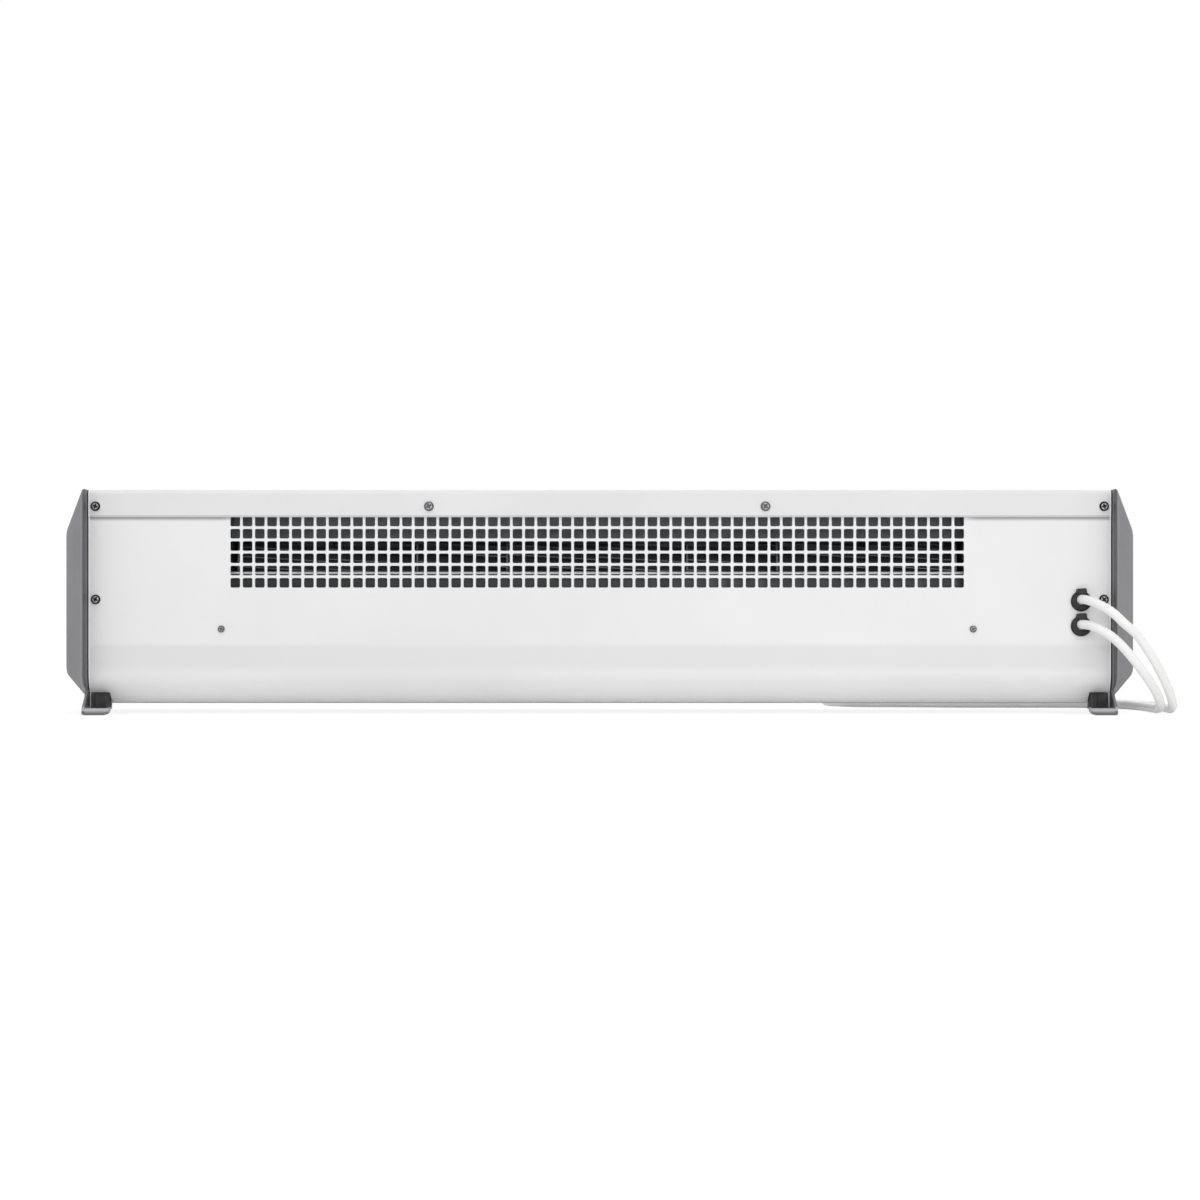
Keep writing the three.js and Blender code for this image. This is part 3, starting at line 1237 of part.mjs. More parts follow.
// A strain-relief bushing snaps into the panel; its wedge grips the cord from above.
function bushing(z) {
  const face = PANEL_Y - SEAT_GAP - BUSHING_FLANGE;
  const bore = CORD_RADIUS + BUSHING_BORE_GAP;
  const profile = [
    [face, bore],
    [face, BUSHING_RADIUS - BUSHING_CHAMFER.in],
    [face + BUSHING_CHAMFER.back, BUSHING_RADIUS],
    [PANEL_Y - SEAT_GAP, BUSHING_RADIUS],
    [PANEL_Y - SEAT_GAP, BUSHING_NECK],
    [PANEL_Y + BUSHING_DEPTH, BUSHING_NECK],
    [PANEL_Y + BUSHING_DEPTH, bore],
  ];
  const body = turnedY(profile, CORD_X, z, ROUND_SIDES);
  const half = WEDGE.width / 2 + SEAT_GAP;
  const slot = box(
    [CORD_X - half, CORD_X + half],
    [face - CUT_PAST, PANEL_Y + BUSHING_DEPTH + CUT_PAST],
    [z + CORD_RADIUS / 2, z + BUSHING_RADIUS + CUT_PAST],
  );
  return cut(body, slot);
}

function bushingWedge(z) {
  const low = z + CORD_RADIUS + BUSHING_BORE_GAP + SEAT_GAP;
  const half = WEDGE.width / 2;
  const back = PANEL_Y - SEAT_GAP;
  const neckHalf = WEDGE.neck / 2;
  const neckTop = z + Math.sqrt(BUSHING_NECK ** 2 - neckHalf ** 2);
  return join(
    box([CORD_X - half, CORD_X + half], [back - WEDGE.proud, back], [low, z + WEDGE.height]),
    box([CORD_X - neckHalf, CORD_X + neckHalf], [back - SHEET, PANEL_Y + BUSHING_DEPTH], [low, neckTop]),
  );
}

// ---------------------------------------------------------------- assembly

const SIDES = [
  ["left", -1],
  ["right", 1],
];

add("front_cover", frontCover(), whitePaint);
add("rear_panel", rearPanel(), whitePaint);
SIDES.forEach(([name, side]) => {
  add("end_cap_" + name, endCap(side), greyPlastic);
  add("end_plate_" + name, endPlate(side), whitePaint);
  add("bulkhead_" + name, bulkhead(side), galvanised);
  add("floor_plate_" + name, floorPlate(side), whitePaint);
  add("rear_foot_block_" + name, rearFootBlock(side), blackRubber);
  add("front_foot_pad_" + name, frontFootPad(side), blackRubber);
  add("side_screw_" + name, screw(SCREW, PANEL_Y, side * CORNER_SCREW_X, SIDE_SCREW_Z), steel);
});
FLANGE_SCREW_XS.forEach((x, index) => {
  add("cover_screw_" + (index + 1), screw(SCREW, FLANGE_Y, x, FLANGE_SCREW_Z), steel);
});
SMALL_SCREW_XS.forEach((x, index) => {
  add("bulkhead_screw_" + SIDES[index][0], screw(SMALL_SCREW, PANEL_Y, x, SMALL_SCREW_Z), steel);
});
add("duct_scroll", ductScroll(), galvanised);
add("duct_rear_wall", ductRearWall(), galvanised);
add("fan_impeller", fanImpeller(), aluminium);
add("motor_rotor", motorRotor(), steel);
add("fan_stub_shaft", stubShaft(), steel);
add("motor_housing", motorHousing(), steel);
add("motor_cradle", motorCradle(), galvanised);
add("motor_strap", motorStrap(), galvanised);
add("motor_capacitor", capacitor(), whitePlastic);
add("bearing_holder", bearingHolder(), blackRubber);
add("fan_bearing", bearing(), bronze);
HEATER_SPOTS.forEach((spot, index) => add("heater_element_" + (index + 1), heaterElement(spot), steel));
add("thermal_cutout", thermalCutout(), blackPlastic);
add("electrics_plate", electricsPlate(), galvanised);
add("terminal_block", terminalBlock(), whitePlastic);
add("control_board", controlBoard(), greenBoard);
[0, 1].forEach((index) => add("relay_" + (index + 1), relay(index), blueCase));
add("outlet_frame", outletFrame(), whitePaint);
VANE_YS.forEach((y, index) => add("outlet_vane_" + (index + 1), outletVane(y), aluminium));
add("vane_link", vaneLink(), aluminium);
[
  ["supply", SUPPLY, SUPPLY_ROUTE, SUPPLY_TAIL],
  ["control", CONTROL, CONTROL_ROUTE, CONTROL_TAIL],
].forEach(([name, { z, coilX }, route, tail]) => {
  add(name + "_bushing", bushing(z), blackPlastic);
  add(name + "_bushing_wedge", bushingWedge(z), blackPlastic);
  add(name + "_cord_tail", cordTube(tail), whitePlastic);
  add(name + "_cord", cordTube(route), whitePlastic);
  add(name + "_cord_coil", cordCoil(name + "_cord_coil", coilX), whitePlastic);
  add(name + "_cord_end", cordEnd(coilX), whitePlastic);
});

export default model;
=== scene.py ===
"""An overdoor air curtain on its feet, seen square on from its intake side.

Lengths are millimetres in the frame's own axes: +X along the case, -Y the intake side, +Z up.
A section is a list of (y, z) points, or of (y, z, radius) corners listed clockwise.
"""

import math

import bmesh
import bpy
import numpy as np
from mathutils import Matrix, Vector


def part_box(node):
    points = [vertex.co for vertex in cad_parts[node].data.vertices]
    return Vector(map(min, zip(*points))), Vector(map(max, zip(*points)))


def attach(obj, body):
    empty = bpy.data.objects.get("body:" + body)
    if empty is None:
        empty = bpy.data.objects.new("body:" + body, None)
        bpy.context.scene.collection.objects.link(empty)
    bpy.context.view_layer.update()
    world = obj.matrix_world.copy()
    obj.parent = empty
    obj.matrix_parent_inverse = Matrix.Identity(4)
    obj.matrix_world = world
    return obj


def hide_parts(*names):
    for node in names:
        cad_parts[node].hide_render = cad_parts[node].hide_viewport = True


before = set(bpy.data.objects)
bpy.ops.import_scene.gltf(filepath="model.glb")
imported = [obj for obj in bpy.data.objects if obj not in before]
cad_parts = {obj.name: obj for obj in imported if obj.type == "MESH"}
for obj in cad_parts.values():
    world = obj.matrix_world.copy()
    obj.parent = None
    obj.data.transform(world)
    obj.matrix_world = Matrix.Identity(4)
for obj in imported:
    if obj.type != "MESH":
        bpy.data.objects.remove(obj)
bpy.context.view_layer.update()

MM = 0.001


def box_mm(node):
    """Lowest and highest corner of a CAD node, in millimetres."""
    low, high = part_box(node)
    return np.array(low) / MM, np.array(high) / MM


# ---------------------------------------------------------------- sizes

COVER_LOW, COVER_HIGH = box_mm("front_cover")
CASE_END = COVER_HIGH[0]
CASE_TOP = COVER_HIGH[2]
CASE_BOTTOM = COVER_LOW[2]
COVER_FRONT = COVER_HIGH[1]
FLANGE_Y = COVER_LOW[1]
PANEL_Y = box_mm("rear_panel")[0][1]
CAP_REAR, CAP_FRONT = [corner[1] for corner in box_mm("end_cap_right")]
WORKS_LEFT = box_mm("bulkhead_left")[1][0]
WORKS_RIGHT = box_mm("bulkhead_right")[0][0]
SHEET = 1.0
SEAT_GAP = 0.3
OUTLET_REAR = box_mm("outlet_frame")[0][1] - SEAT_GAP
OUTLET_FRONT = box_mm("outlet_frame")[1][1] + SEAT_GAP

# Case section
TOP_FOLD = 5
FLANGE_EDGE = CASE_TOP - 27
PANEL_TOP = FLANGE_EDGE + 21
PANEL_CURVE = 31.6
PANEL_FLAT = PANEL_TOP - CASE_BOTTOM - PANEL_CURVE
FRONT_CORNERS = [
    (COVER_FRONT, CASE_TOP, 48),
    (COVER_FRONT, CASE_BOTTOM + 48, 46),
    (COVER_FRONT - 14, CASE_BOTTOM, 8),
]
CASE_CORNERS = [
    (PANEL_Y, CASE_TOP, TOP_FOLD),
    *FRONT_CORNERS,
    (PANEL_Y, CASE_BOTTOM, PANEL_CURVE),
]

# Intake grille
GRILLE_ROWS = 6
GRILLE_COLUMNS = 60
GRILLE_PITCH = 12
GRILLE_HOLE = 9.3
GRILLE_HOLE_RADIUS = 1.3
GRILLE_ROLL = 0.3
GRILLE_TOP = FLANGE_EDGE - 4.2 + GRILLE_PITCH / 2
GRILLE_LEFT = (WORKS_LEFT + WORKS_RIGHT - GRILLE_COLUMNS * GRILLE_PITCH) / 2
NOTCH_X = CASE_END - 19.8
NOTCH_TOP = 21.5
NOTCH_FRONT = -43.2

# End caps
CAP_RISE = 33
CAP_WALL = 2.5
CAP_INNER_FACE = 1.2
CAP_RIM = 3
CAP_CORNERS = [
    (CAP_REAR, CASE_TOP, 6),
    (CAP_FRONT, CASE_TOP, 51),
    (CAP_FRONT, CASE_BOTTOM + 48, 49),
    (CAP_FRONT - 14, CASE_BOTTOM - 1, 8),
    (PANEL_Y + 35, CASE_BOTTOM - 1, 14),
    (CAP_REAR, CASE_BOTTOM + 22, 16),
]
CAP_FACE_CORNERS = [
    (CAP_REAR + 74, CASE_TOP - 38, 8),
    (CAP_FRONT - 55, CASE_TOP - 38, 8),
    (CAP_FRONT - 55, CASE_BOTTOM + 28, 8),
    (CAP_REAR + 74, CASE_BOTTOM + 28, 8),
]

# Feet
FOOT_WALL_INNER = CASE_END + 0.6
FOOT_WALL_OUTER = CASE_END + 3.1
FOOT_THICK = 6.7
FOOT_WALL_TOP = 24
FOOT_WALL_LOW = 0.5
REAR_FOOT_END = CASE_END - 23
FRONT_FOOT_END = CASE_END + 22
REAR_FOOT = (CAP_REAR, CAP_REAR + 47)
FRONT_FOOT = (CAP_FRONT - 54, CAP_FRONT - 20)
REAR_TONGUE = {"sole": 0, "end_radius": 5.8, "step_back": 6}
FRONT_TONGUE = {"sole": 2.7, "end_radius": 2.8, "step_back": 0}

# Fan, motor and bearing share an axis
AXIS_Y = 6
AXIS_Z = 146
FAN_RADIUS = 45
FAN_LEFT = WORKS_LEFT + 6
FAN_RIGHT = WORKS_RIGHT - 6
FAN_BLADES = 28
FAN_SECTIONS = 8
FAN_RING_INNER = 33
FAN_RING_HALF_WIDTH = 0.8
SHAFT_RADIUS = 5
STUB_RADIUS = 4
BEARING_RADIUS = 8
SHAFT_PLAY = 0.3
MOTOR_LEFT, MOTOR_RIGHT = [corner[0] for corner in box_mm("motor_housing")]

# Cords
CORD_RADIUS = 4.5
SUPPLY_COIL_X = CASE_END - 75
CONTROL_COIL_X = CASE_END - 208
COIL_RADIUS = 54
COIL_PITCH = 9.6
COIL_TURNS_IN = 1.25
COIL_STEPS = 24
COIL_Y = CAP_FRONT + 80
CORD_REST = 4.6
ROUTE_STEPS = 16

# Duct, heaters and vanes
LIP_Y = AXIS_Y - 49
LIP_Z = AXIS_Z - 6
LIP_FOLD = 5
DUCT_FLOOR = CASE_BOTTOM + SHEET + SEAT_GAP
DUCT_FOLD = 10
HEATER_ROD_RADIUS = 4.2
HEATER_STUD_RADIUS = 1.5
HEATER_STUD_LENGTH = 8
HEATER_FIN_RADIUS = 8.5
HEATER_FIN_PITCH = 5
VANE_END_GAP = 7.8
VANE_PIVOT_Z = CASE_BOTTOM + 10.5
VANE_CHORD = 17
VANE_HALF_THICK = 0.8
VANE_PIN_RADIUS = 1.6
CRANK_PIN_RADIUS = 1.1
CRANK_RISE = 6.8

# Mesh fineness
ARC_STEP = math.radians(5)
TURN_STEP = 4
CORD_SIDES = 24


# ---------------------------------------------------------------- shapes from arrays


def unit(vectors):
    """Each vector divided by its length."""
    return vectors / np.linalg.norm(vectors, axis=-1, keepdims=True)


def full_turn(count):
    """Angles evenly spaced round a full turn."""
    return np.linspace(0, 2 * math.pi, count, endpoint=False)


def directions(angles):
    """The unit vector at each angle."""
    return np.stack([np.cos(angles), np.sin(angles)], 1)


def smoothstep(value, low, high):
    """0 below low, 1 above high, and 3t^2 - 2t^3 between, where t runs from 0 to 1."""
    part = np.clip((value - low) / (high - low), 0, 1)
    return part * part * (3 - 2 * part)


def bezier(a, b, c, steps):
    """A quadratic curve from a to c that leaves and arrives along the lines to b."""
    t = np.linspace(0, 1, steps + 1)[:, None]
    a, b, c = [np.array(p, float) for p in (a, b, c)]
    return a * (1 - t) ** 2 + 2 * b * t * (1 - t) + c * t**2


def corner_parts(before, here, after):
    """Directions from a corner to its neighbours, and half the angle between them."""
    back = unit(before - here)
    ahead = unit(after - here)
    half = np.arccos(np.clip((back * ahead).sum(-1), -1, 1)) / 2
    return back, ahead, half


def rounded_path(corners, closed=False, arc_step=ARC_STEP):
    """The line through (u, v, radius) corners, each corner an arc that touches both its sides."""
    corners = np.array(corners, float)
    if closed:
        corners = np.vstack([corners[-1:], corners, corners[:1]])
    pieces = [] if closed else [corners[:1, :2]]
    for before, here, after in zip(corners[:-2], corners[1:-1], corners[2:]):
        radius = here[2]
        back, ahead, half = corner_parts(before[:2], here[:2], after[:2])
        centre = here[:2] + unit(back + ahead) * radius / math.sin(half)
        start = here[:2] + back * radius / math.tan(half) - centre
        end = here[:2] + ahead * radius / math.tan(half) - centre
        sweep = math.atan2(start[0] * end[1] - start[1] * end[0], start @ end)
        count = max(2, math.ceil(abs(sweep) / arc_step - 1e-6)) + 1
        angles = math.atan2(start[1], start[0]) + np.linspace(0, sweep, count)
        pieces.append(centre + radius * directions(angles))
    if not closed:
        pieces.append(corners[-1:, :2])
    return np.vstack(pieces)


def offset_path(points, distance):
    """Each point moved to its path's left, along the bisector of its two sides."""
    sides = unit(np.diff(points, axis=0))
    arriving = np.vstack([sides[:1], sides])
    leaving = np.vstack([sides, sides[-1:]])
    along = unit(arriving + leaving)
    left = np.stack([-along[:, 1], along[:, 0]], 1)
    return points + left * (distance / (along * arriving).sum(1))[:, None]


def inset(corners, distance):
    """Corners of the outline that runs a distance inside a convex one."""
    corners = np.array(corners, float)
    here = corners[:, :2]
    back, ahead, half = corner_parts(np.roll(here, 1, 0), here, np.roll(here, -1, 0))
    moved = here + unit(back + ahead) * (distance / np.sin(half))[:, None]
    return np.column_stack([moved, np.maximum(corners[:, 2] - distance, 0.5)])


def outline(corners, turns):
    """A rounded convex outline, one point for each outward direction in turns: each corner is a
    circle that touches its two sides, and the point is on the circle that reaches furthest."""
    corners = np.array(corners, float)
    here = corners[:, :2]
    radius = corners[:, 2]
    back, ahead, half = corner_parts(np.roll(here, 1, 0), here, np.roll(here, -1, 0))
    centres = here + unit(back + ahead) * (radius / np.sin(half))[:, None]
    outward = directions(turns)
    furthest = (outward @ centres.T + radius).argmax(1)
    return centres[furthest] + radius[furthest, None] * outward


def outline_turns(*outlines):
    """Directions every few degrees, and just beside the normal of each straight side, so that
    both ends of the side are points of the outline."""
    just_beside = 2e-5
    turns = [np.radians(np.arange(0, 360, TURN_STEP))]
    for corners in outlines:
        here = np.array(corners, float)[:, :2]
        side = np.roll(here, -1, 0) - here
        normals = np.arctan2(side[:, 0], -side[:, 1])
        turns += [normals - just_beside, normals + just_beside]
    return np.unique(np.concatenate(turns) % (2 * math.pi))


def grid_quads(rows, columns, wrap_rows=False, wrap_columns=False):
    """Quads between neighbouring points of a grid stored row by row, closed round where asked."""
    row, column = np.meshgrid(
        np.arange(rows if wrap_rows else rows - 1),
        np.arange(columns if wrap_columns else columns - 1),
        indexing="ij",
    )
    row, column = row.ravel(), column.ravel()
    next_row = (row + 1) % rows * columns
    next_column = (column + 1) % columns
    row = row * columns
    return np.stack([row + column, row + next_column, next_row + next_column, next_row + column], 1)


def loft(rings, wrap=False):
    """A skin over closed rings of equal count, with flat ends unless the rings close in a loop."""
    count, sides = rings.shape[:2]
    groups = [grid_quads(count, sides, wrap, True)]
    if not wrap:
        ends = np.arange(sides)[None]
        groups += [ends[:, ::-1], ends + (count - 1) * sides]
    return rings.reshape(-1, 3), groups


def prism(section, axis, stations):
    """A closed section carried straight along an axis through the given stations."""
    return loft(np.stack([np.insert(section, axis, value, axis=1) for value in stations]))


def bent_sheet(path, thickness, ends):
    """A sheet to the left of a path (to its right if thickness is below 0), carried along X:
    a prism whose two ends are strips of quads."""
    section = np.vstack([path, offset_path(path, thickness)[::-1]])
    rings = np.stack([np.insert(section, 0, value, axis=1) for value in ends])
    count = len(section)
    k = np.arange(len(path) - 1)
    strip = np.stack([k, k + 1, count - 2 - k, count - 1 - k], 1)
    return rings.reshape(-1, 3), [grid_quads(2, count, False, True), strip[:, ::-1], strip + count]


def turned(profile, centre, sides=48, wrap=False):
    """A profile of (x, radius) turned about the line along X through a centre (y, z)."""
    profile = np.array(profile, float)
    angles = full_turn(sides)
    x = np.repeat(profile[:, :1], sides, 1)
    y = centre[0] + profile[:, 1:] * np.cos(angles)
    z = centre[1] + profile[:, 1:] * np.sin(angles)
    return loft(np.stack([x, y, z], 2), wrap)


def cord_skin(path):
    """A round skin about a cord's path: each ring stands square to the path, turned to face a
    fixed direction that the path never takes."""
    tangent = unit(np.gradient(path, axis=0))
    never_taken = np.array([0.6, 0.0, 0.8])
    first = unit(np.cross(tangent, never_taken))
    second = np.cross(first, tangent)
    angles = full_turn(CORD_SIDES)[:, None]
    around = first[:, None] * np.cos(angles) + second[:, None] * np.sin(angles)
    return loft(path[:, None] + CORD_RADIUS * around)


def smooth_route(points, steps):
    """A centripetal Catmull-Rom curve: between two points it is the cubic whose slopes come from
    the neighbours, with parameter steps that grow as the square root of the distance."""
    points = np.array(points, float)
    points = np.vstack([2 * points[0] - points[1], points, 2 * points[-1] - points[-2]])
    a, b, c, d = points[:-3], points[1:-2], points[2:-1], points[3:]
    step_ab, step_bc, step_cd = [
        np.sqrt(np.linalg.norm(v - u, axis=1))[:, None] for u, v in ((a, b), (b, c), (c, d))
    ]
    slope_b = ((b - a) / step_ab - (c - a) / (step_ab + step_bc) + (c - b) / step_bc) * step_bc
    slope_c = ((c - b) / step_bc - (d - b) / (step_bc + step_cd) + (d - c) / step_cd) * step_bc
    b, c, slope_b, slope_c = [x[:, None] for x in (b, c, slope_b, slope_c)]
    t = np.linspace(0, 1, steps, endpoint=False)[None, :, None]
    cubic = (2 * b - 2 * c + slope_b + slope_c) * t**3
    square = (-3 * b + 3 * c - 2 * slope_b - slope_c) * t**2
    curve = b + slope_b * t + square + cubic
    return np.vstack([curve.reshape(-1, 3), points[-2]])


def evenly(path, step):
    """The same path with its points about one step apart."""
    reached = np.concatenate([[0], np.cumsum(np.linalg.norm(np.diff(path, axis=0), axis=1))])
    places = np.linspace(0, reached[-1], max(2, round(reached[-1] / step)) + 1)
    return np.stack([np.interp(places, reached, path[:, k]) for k in range(3)], 1)


def signed_volume(points, groups):
    """Six times the volume inside a closed skin, below 0 where its faces point inwards."""
    total = 0
    for group in groups:
        corners = points[group]
        for k in range(1, group.shape[1] - 1):
            total += (corners[:, 0] * np.cross(corners[:, k], corners[:, k + 1])).sum()
    return total


def dress(piece, bevel):
    """Rounds the piece's edges and keeps its flat faces flat in the shading."""
    if bevel:
        rounding = piece.modifiers.new("edge_rounding", "BEVEL")
        rounding.width = bevel * MM
        rounding.segments = 2
        rounding.limit_method = "ANGLE"
        rounding.angle_limit = math.radians(40)
    shading = piece.modifiers.new("flat_faces", "WEIGHTED_NORMAL")
    shading.keep_sharp = True


def new_mesh(name, points, faces):
    """A smooth-shaded mesh from points and (group of faces, material) pairs."""
    polygons, finishes, materials = [], [], []
    for group, material in faces:
        if material not in materials:
            materials.append(material)
        polygons += group.tolist()
        finishes += [materials.index(material)] * len(group)
    mesh = bpy.data.meshes.new(name)
    mesh.from_pydata((points * MM).tolist(), [], polygons)
    for material in materials:
        mesh.materials.append(material)
    mesh.polygons.foreach_set("material_index", finishes)
    mesh.polygons.foreach_set("use_smooth", [True] * len(mesh.polygons))
    return mesh


def add_object(name, data):
    """A new object in the scene that shows a mesh, a camera or a lamp."""
    added = bpy.data.objects.new(name, data)
    bpy.context.scene.collection.objects.link(added)
    return added


def stand_for(piece, nodes, body="case"):
    """Tells the frame what the piece rides on, and the CAD nodes it stands for."""
    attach(piece, body)
    if nodes:
        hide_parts(*nodes)


def facing_out(skin, groups):
    """The groups of faces, all turned round where the closed skin's volume comes below 0."""
    if signed_volume(skin, groups) < 0:
        return [group[:, ::-1] for group in groups]
    return groups


def make_piece(name, parts, body="case", replaced=(), bevel=0.0, sharp=35):
    """One object from ((points, groups of faces), material) parts, each a closed skin, with
    its doubles merged."""
    points, faces = [], []
    start = 0
    for (skin, groups), material in parts:
        faces += [(group + start, material) for group in facing_out(skin, groups)]
        points.append(skin)
        start += len(skin)
    mesh = new_mesh(name, np.vstack(points), faces)
    shape = bmesh.new()
    shape.from_mesh(mesh)
    bmesh.ops.remove_doubles(shape, verts=shape.verts, dist=4e-6)
    shape.to_mesh(mesh)
    shape.free()
    if not bevel:
        mesh.set_sharp_from_angle(angle=math.radians(sharp))
    piece = add_object(name, mesh)
    dress(piece, bevel)
    stand_for(piece, replaced, body)
    return piece


# ---------------------------------------------------------------- camera

CAMERA_PLACE = (0.25, -2665, 112)
CAMERA_LENS = 79.755
SENSOR = 36

camera_data = bpy.data.cameras.new("camera")
camera_data.lens = CAMERA_LENS
camera_data.sensor_width = SENSOR
camera = add_object("camera", camera_data)
camera.location = [value * MM for value in CAMERA_PLACE]
camera.rotation_euler = (math.radians(90), 0, 0)
bpy.context.scene.camera = camera


# ---------------------------------------------------------------- materials


def linear(hex_colour):
    """A colour written as sRGB hex, turned to the linear values that a shader takes."""
    values = [int(hex_colour[i : i + 2], 16) / 255 for i in (0, 2, 4)]
    return [v / 12.92 if v <= 0.04045 else ((v + 0.055) / 1.055) ** 2.4 for v in values] + [1.0]


def add_node(tree, kind, inputs=(), **settings):
    """Adds one node with its settings; an input is a value, or another node's socket to link."""
    node = tree.nodes.new("ShaderNode" + kind)
    for name, value in settings.items():
        setattr(node, name, value)
    for key, value in dict(inputs).items():
        if isinstance(value, bpy.types.NodeSocket):
            tree.links.new(value, node.inputs[key])
        else:
            node.inputs[key].default_value = value
    return node


def maths(tree, operation, *values):
    """The result of one sum on numbers or sockets."""
    return add_node(tree, "Math", dict(enumerate(values)), operation=operation).outputs[0]


def product(tree, *factors):
    """All the factors multiplied together."""
    result = factors[0]
    for factor in factors[1:]:
        result = maths(tree, "MULTIPLY", result, factor)
    return result


def new_material(name, roughness, metallic=0.0, ior=1.5, specular=0.5):
    """A material with a Principled shader whose constant values sit on its own sockets."""
    material = bpy.data.materials.new(name)
    material.use_nodes = True
    tree = material.node_tree
    shader = tree.nodes["Principled BSDF"]
    shader.inputs["Roughness"].default_value = roughness
    shader.inputs["Metallic"].default_value = metallic
    shader.inputs["IOR"].default_value = ior
    shader.inputs["Specular IOR Level"].default_value = specular
    return material, tree, shader


def object_place(tree):
    """Object coordinates, so that a pattern stays on its piece."""
    return add_node(tree, "TexCoord").outputs["Object"]


def per_mm(size):
    """The scale at which a pattern on Object coordinates repeats once in so many millimetres."""
    return 1 / (size * MM)


def noise(tree, size, detail, place=None):
    """A cloudy factor with lumps of the given size in millimetres."""
    if place is None:
        place = object_place(tree)
    inputs = {"Vector": place, "Scale": per_mm(size), "Detail": detail}
    return add_node(tree, "TexNoise", inputs).outputs["Fac"]


def two_tones(tree, shader, factor, dark, light, low=0.35, high=0.65):
    """Colours the shader from dark to light as a pattern's factor goes from low to high."""
    ramp = add_node(tree, "ValToRGB", {"Fac": factor})
    ramp.color_ramp.elements[0].position = low
    ramp.color_ramp.elements[1].position = high
    ramp.color_ramp.elements[0].color = linear(dark)
    ramp.color_ramp.elements[1].color = linear(light)
    tree.links.new(ramp.outputs["Color"], shader.inputs["Base Color"])


def roughen(tree, shader, factor, low, high):
    """Lets the roughness follow a pattern between two values."""
    spread = add_node(tree, "MapRange", {"Value": factor, "To Min": low, "To Max": high})
    tree.links.new(spread.outputs["Result"], shader.inputs["Roughness"])


def blend_over(tree, shader, factor, colour):
    """Lays a colour over the shader's base colour where the factor is 1."""
    below = shader.inputs["Base Color"].links[0].from_socket
    mix = add_node(tree, "Mix", {0: factor, 6: below, 7: linear(colour)}, data_type="RGBA")
    tree.links.new(mix.outputs[2], shader.inputs["Base Color"])


def rising(tree, value, low, high):
    """A factor that goes smoothly from 0 to 1 as a length goes from low to high millimetres."""
    limits = {"Value": value, "From Min": low * MM, "From Max": high * MM}
    return add_node(tree, "MapRange", limits, interpolation_type="SMOOTHSTEP").outputs["Result"]


def raise_surface(tree, shader, height, depth, strength=1.0):
    """A bump of the given depth in millimetres."""
    inputs = {"Height": height, "Distance": depth * MM, "Strength": strength}
    bump = add_node(tree, "Bump", inputs)
    tree.links.new(bump.outputs["Normal"], shader.inputs["Normal"])


def zone_factor(tree):
    """A function of (axis, low, high) that rises along one axis of the piece, where the axis
    "END" is the distance from the case's middle to either end."""
    sockets = add_node(tree, "SeparateXYZ", {"Vector": object_place(tree)}).outputs
    axes = {name: sockets[name] for name in "XYZ"}
    axes["END"] = maths(tree, "ABSOLUTE", sockets["X"])
    return lambda axis, low, high: rising(tree, axes[axis], low, high)


# Painted shadow under the cover's flange, laid on both the cover and the panel.
FLANGE_SHADOW_GREY = "808081"


def powder_coated_steel(name, dark, light):
    """Satin white polyester powder on steel sheet. The eye gets a soft, wide highlight, a faint
    orange peel in it, and a tone that drifts a little over the length of the sheet."""
    material, tree, shader = new_material(name, 0.45)
    two_tones(tree, shader, noise(tree, 160, 3), dark, light)
    # Real orange peel is 2 mm across; 3.5 mm shows at this size of picture.
    peel = noise(tree, 3.5, 2)
    roughen(tree, shader, peel, 0.4, 0.5)
    raise_surface(tree, shader, peel, 0.03, 0.5)
    return material, tree, shader, zone_factor(tree)


def cut_end_highlight(tree, shader, zone):
    """A painted highlight: a whiter line along the sheet's two cut ends, where their rounded edges
    catch the light.
    """
    blend_over(tree, shader, zone("END", CASE_END - 1.7, CASE_END - 1), "FCFCFC")


def cover_steel():
    """The cover's powder coat, with painted shade along the rolled edge of its flange."""
    name = "white_powder_coated_steel"
    material, tree, shader, zone = powder_coated_steel(name, "DEDEDF", "E3E3E4")
    # Painted shade along the flange's rolled edge, on its rear side.
    rolled_edge = zone("Z", FLANGE_EDGE + 2.5, FLANGE_EDGE + 1.3)
    rear_side = zone("Y", -50, -58)
    blend_over(tree, shader, product(tree, rolled_edge, rear_side, 0.35), FLANGE_SHADOW_GREY)
    # A painted highlight along the cut ends.
    cut_end_highlight(tree, shader, zone)
    return material


def panel_steel():
    """The intake panel's powder coat, with painted shadow under the cover's flange, most of it
    beside the grille, a band of painted shade above the bottom curve, and painted shade on the
    bottom edge."""
    name = "white_powder_coated_panel"
    material, tree, shader, zone = powder_coated_steel(name, "E6E6E7", "EBEBEC")
    # Painted shadow under the cover's flange, strongest beside the grille.
    under_flange = zone("Z", FLANGE_EDGE - 4.4, FLANGE_EDGE - 0.8)
    beside_grille = zone("END", 352, 372)
    flange_shadow_strength = maths(tree, "MULTIPLY_ADD", beside_grille, 0.5, 0.2)
    blend_over(tree, shader, product(tree, under_flange, flange_shadow_strength), FLANGE_SHADOW_GREY)
    # A band of painted shade above the bottom curve.
    below_grille = zone("Z", 71, 65)
    above_curve = zone("Z", 38, 50)
    blend_over(tree, shader, product(tree, below_grille, above_curve), "E1E1E2")
    # Painted shade on the bottom edge, where the curve faces down.
    bottom_edge = zone("Z", CASE_BOTTOM + 1.5, CASE_BOTTOM + 0.6)
    outer_side = zone("Y", -28, -32)
    blend_over(tree, shader, product(tree, bottom_edge, outer_side, 0.8), "6E6E70")
    # A painted highlight along the cut ends.
    cut_end_highlight(tree, shader, zone)
    return material


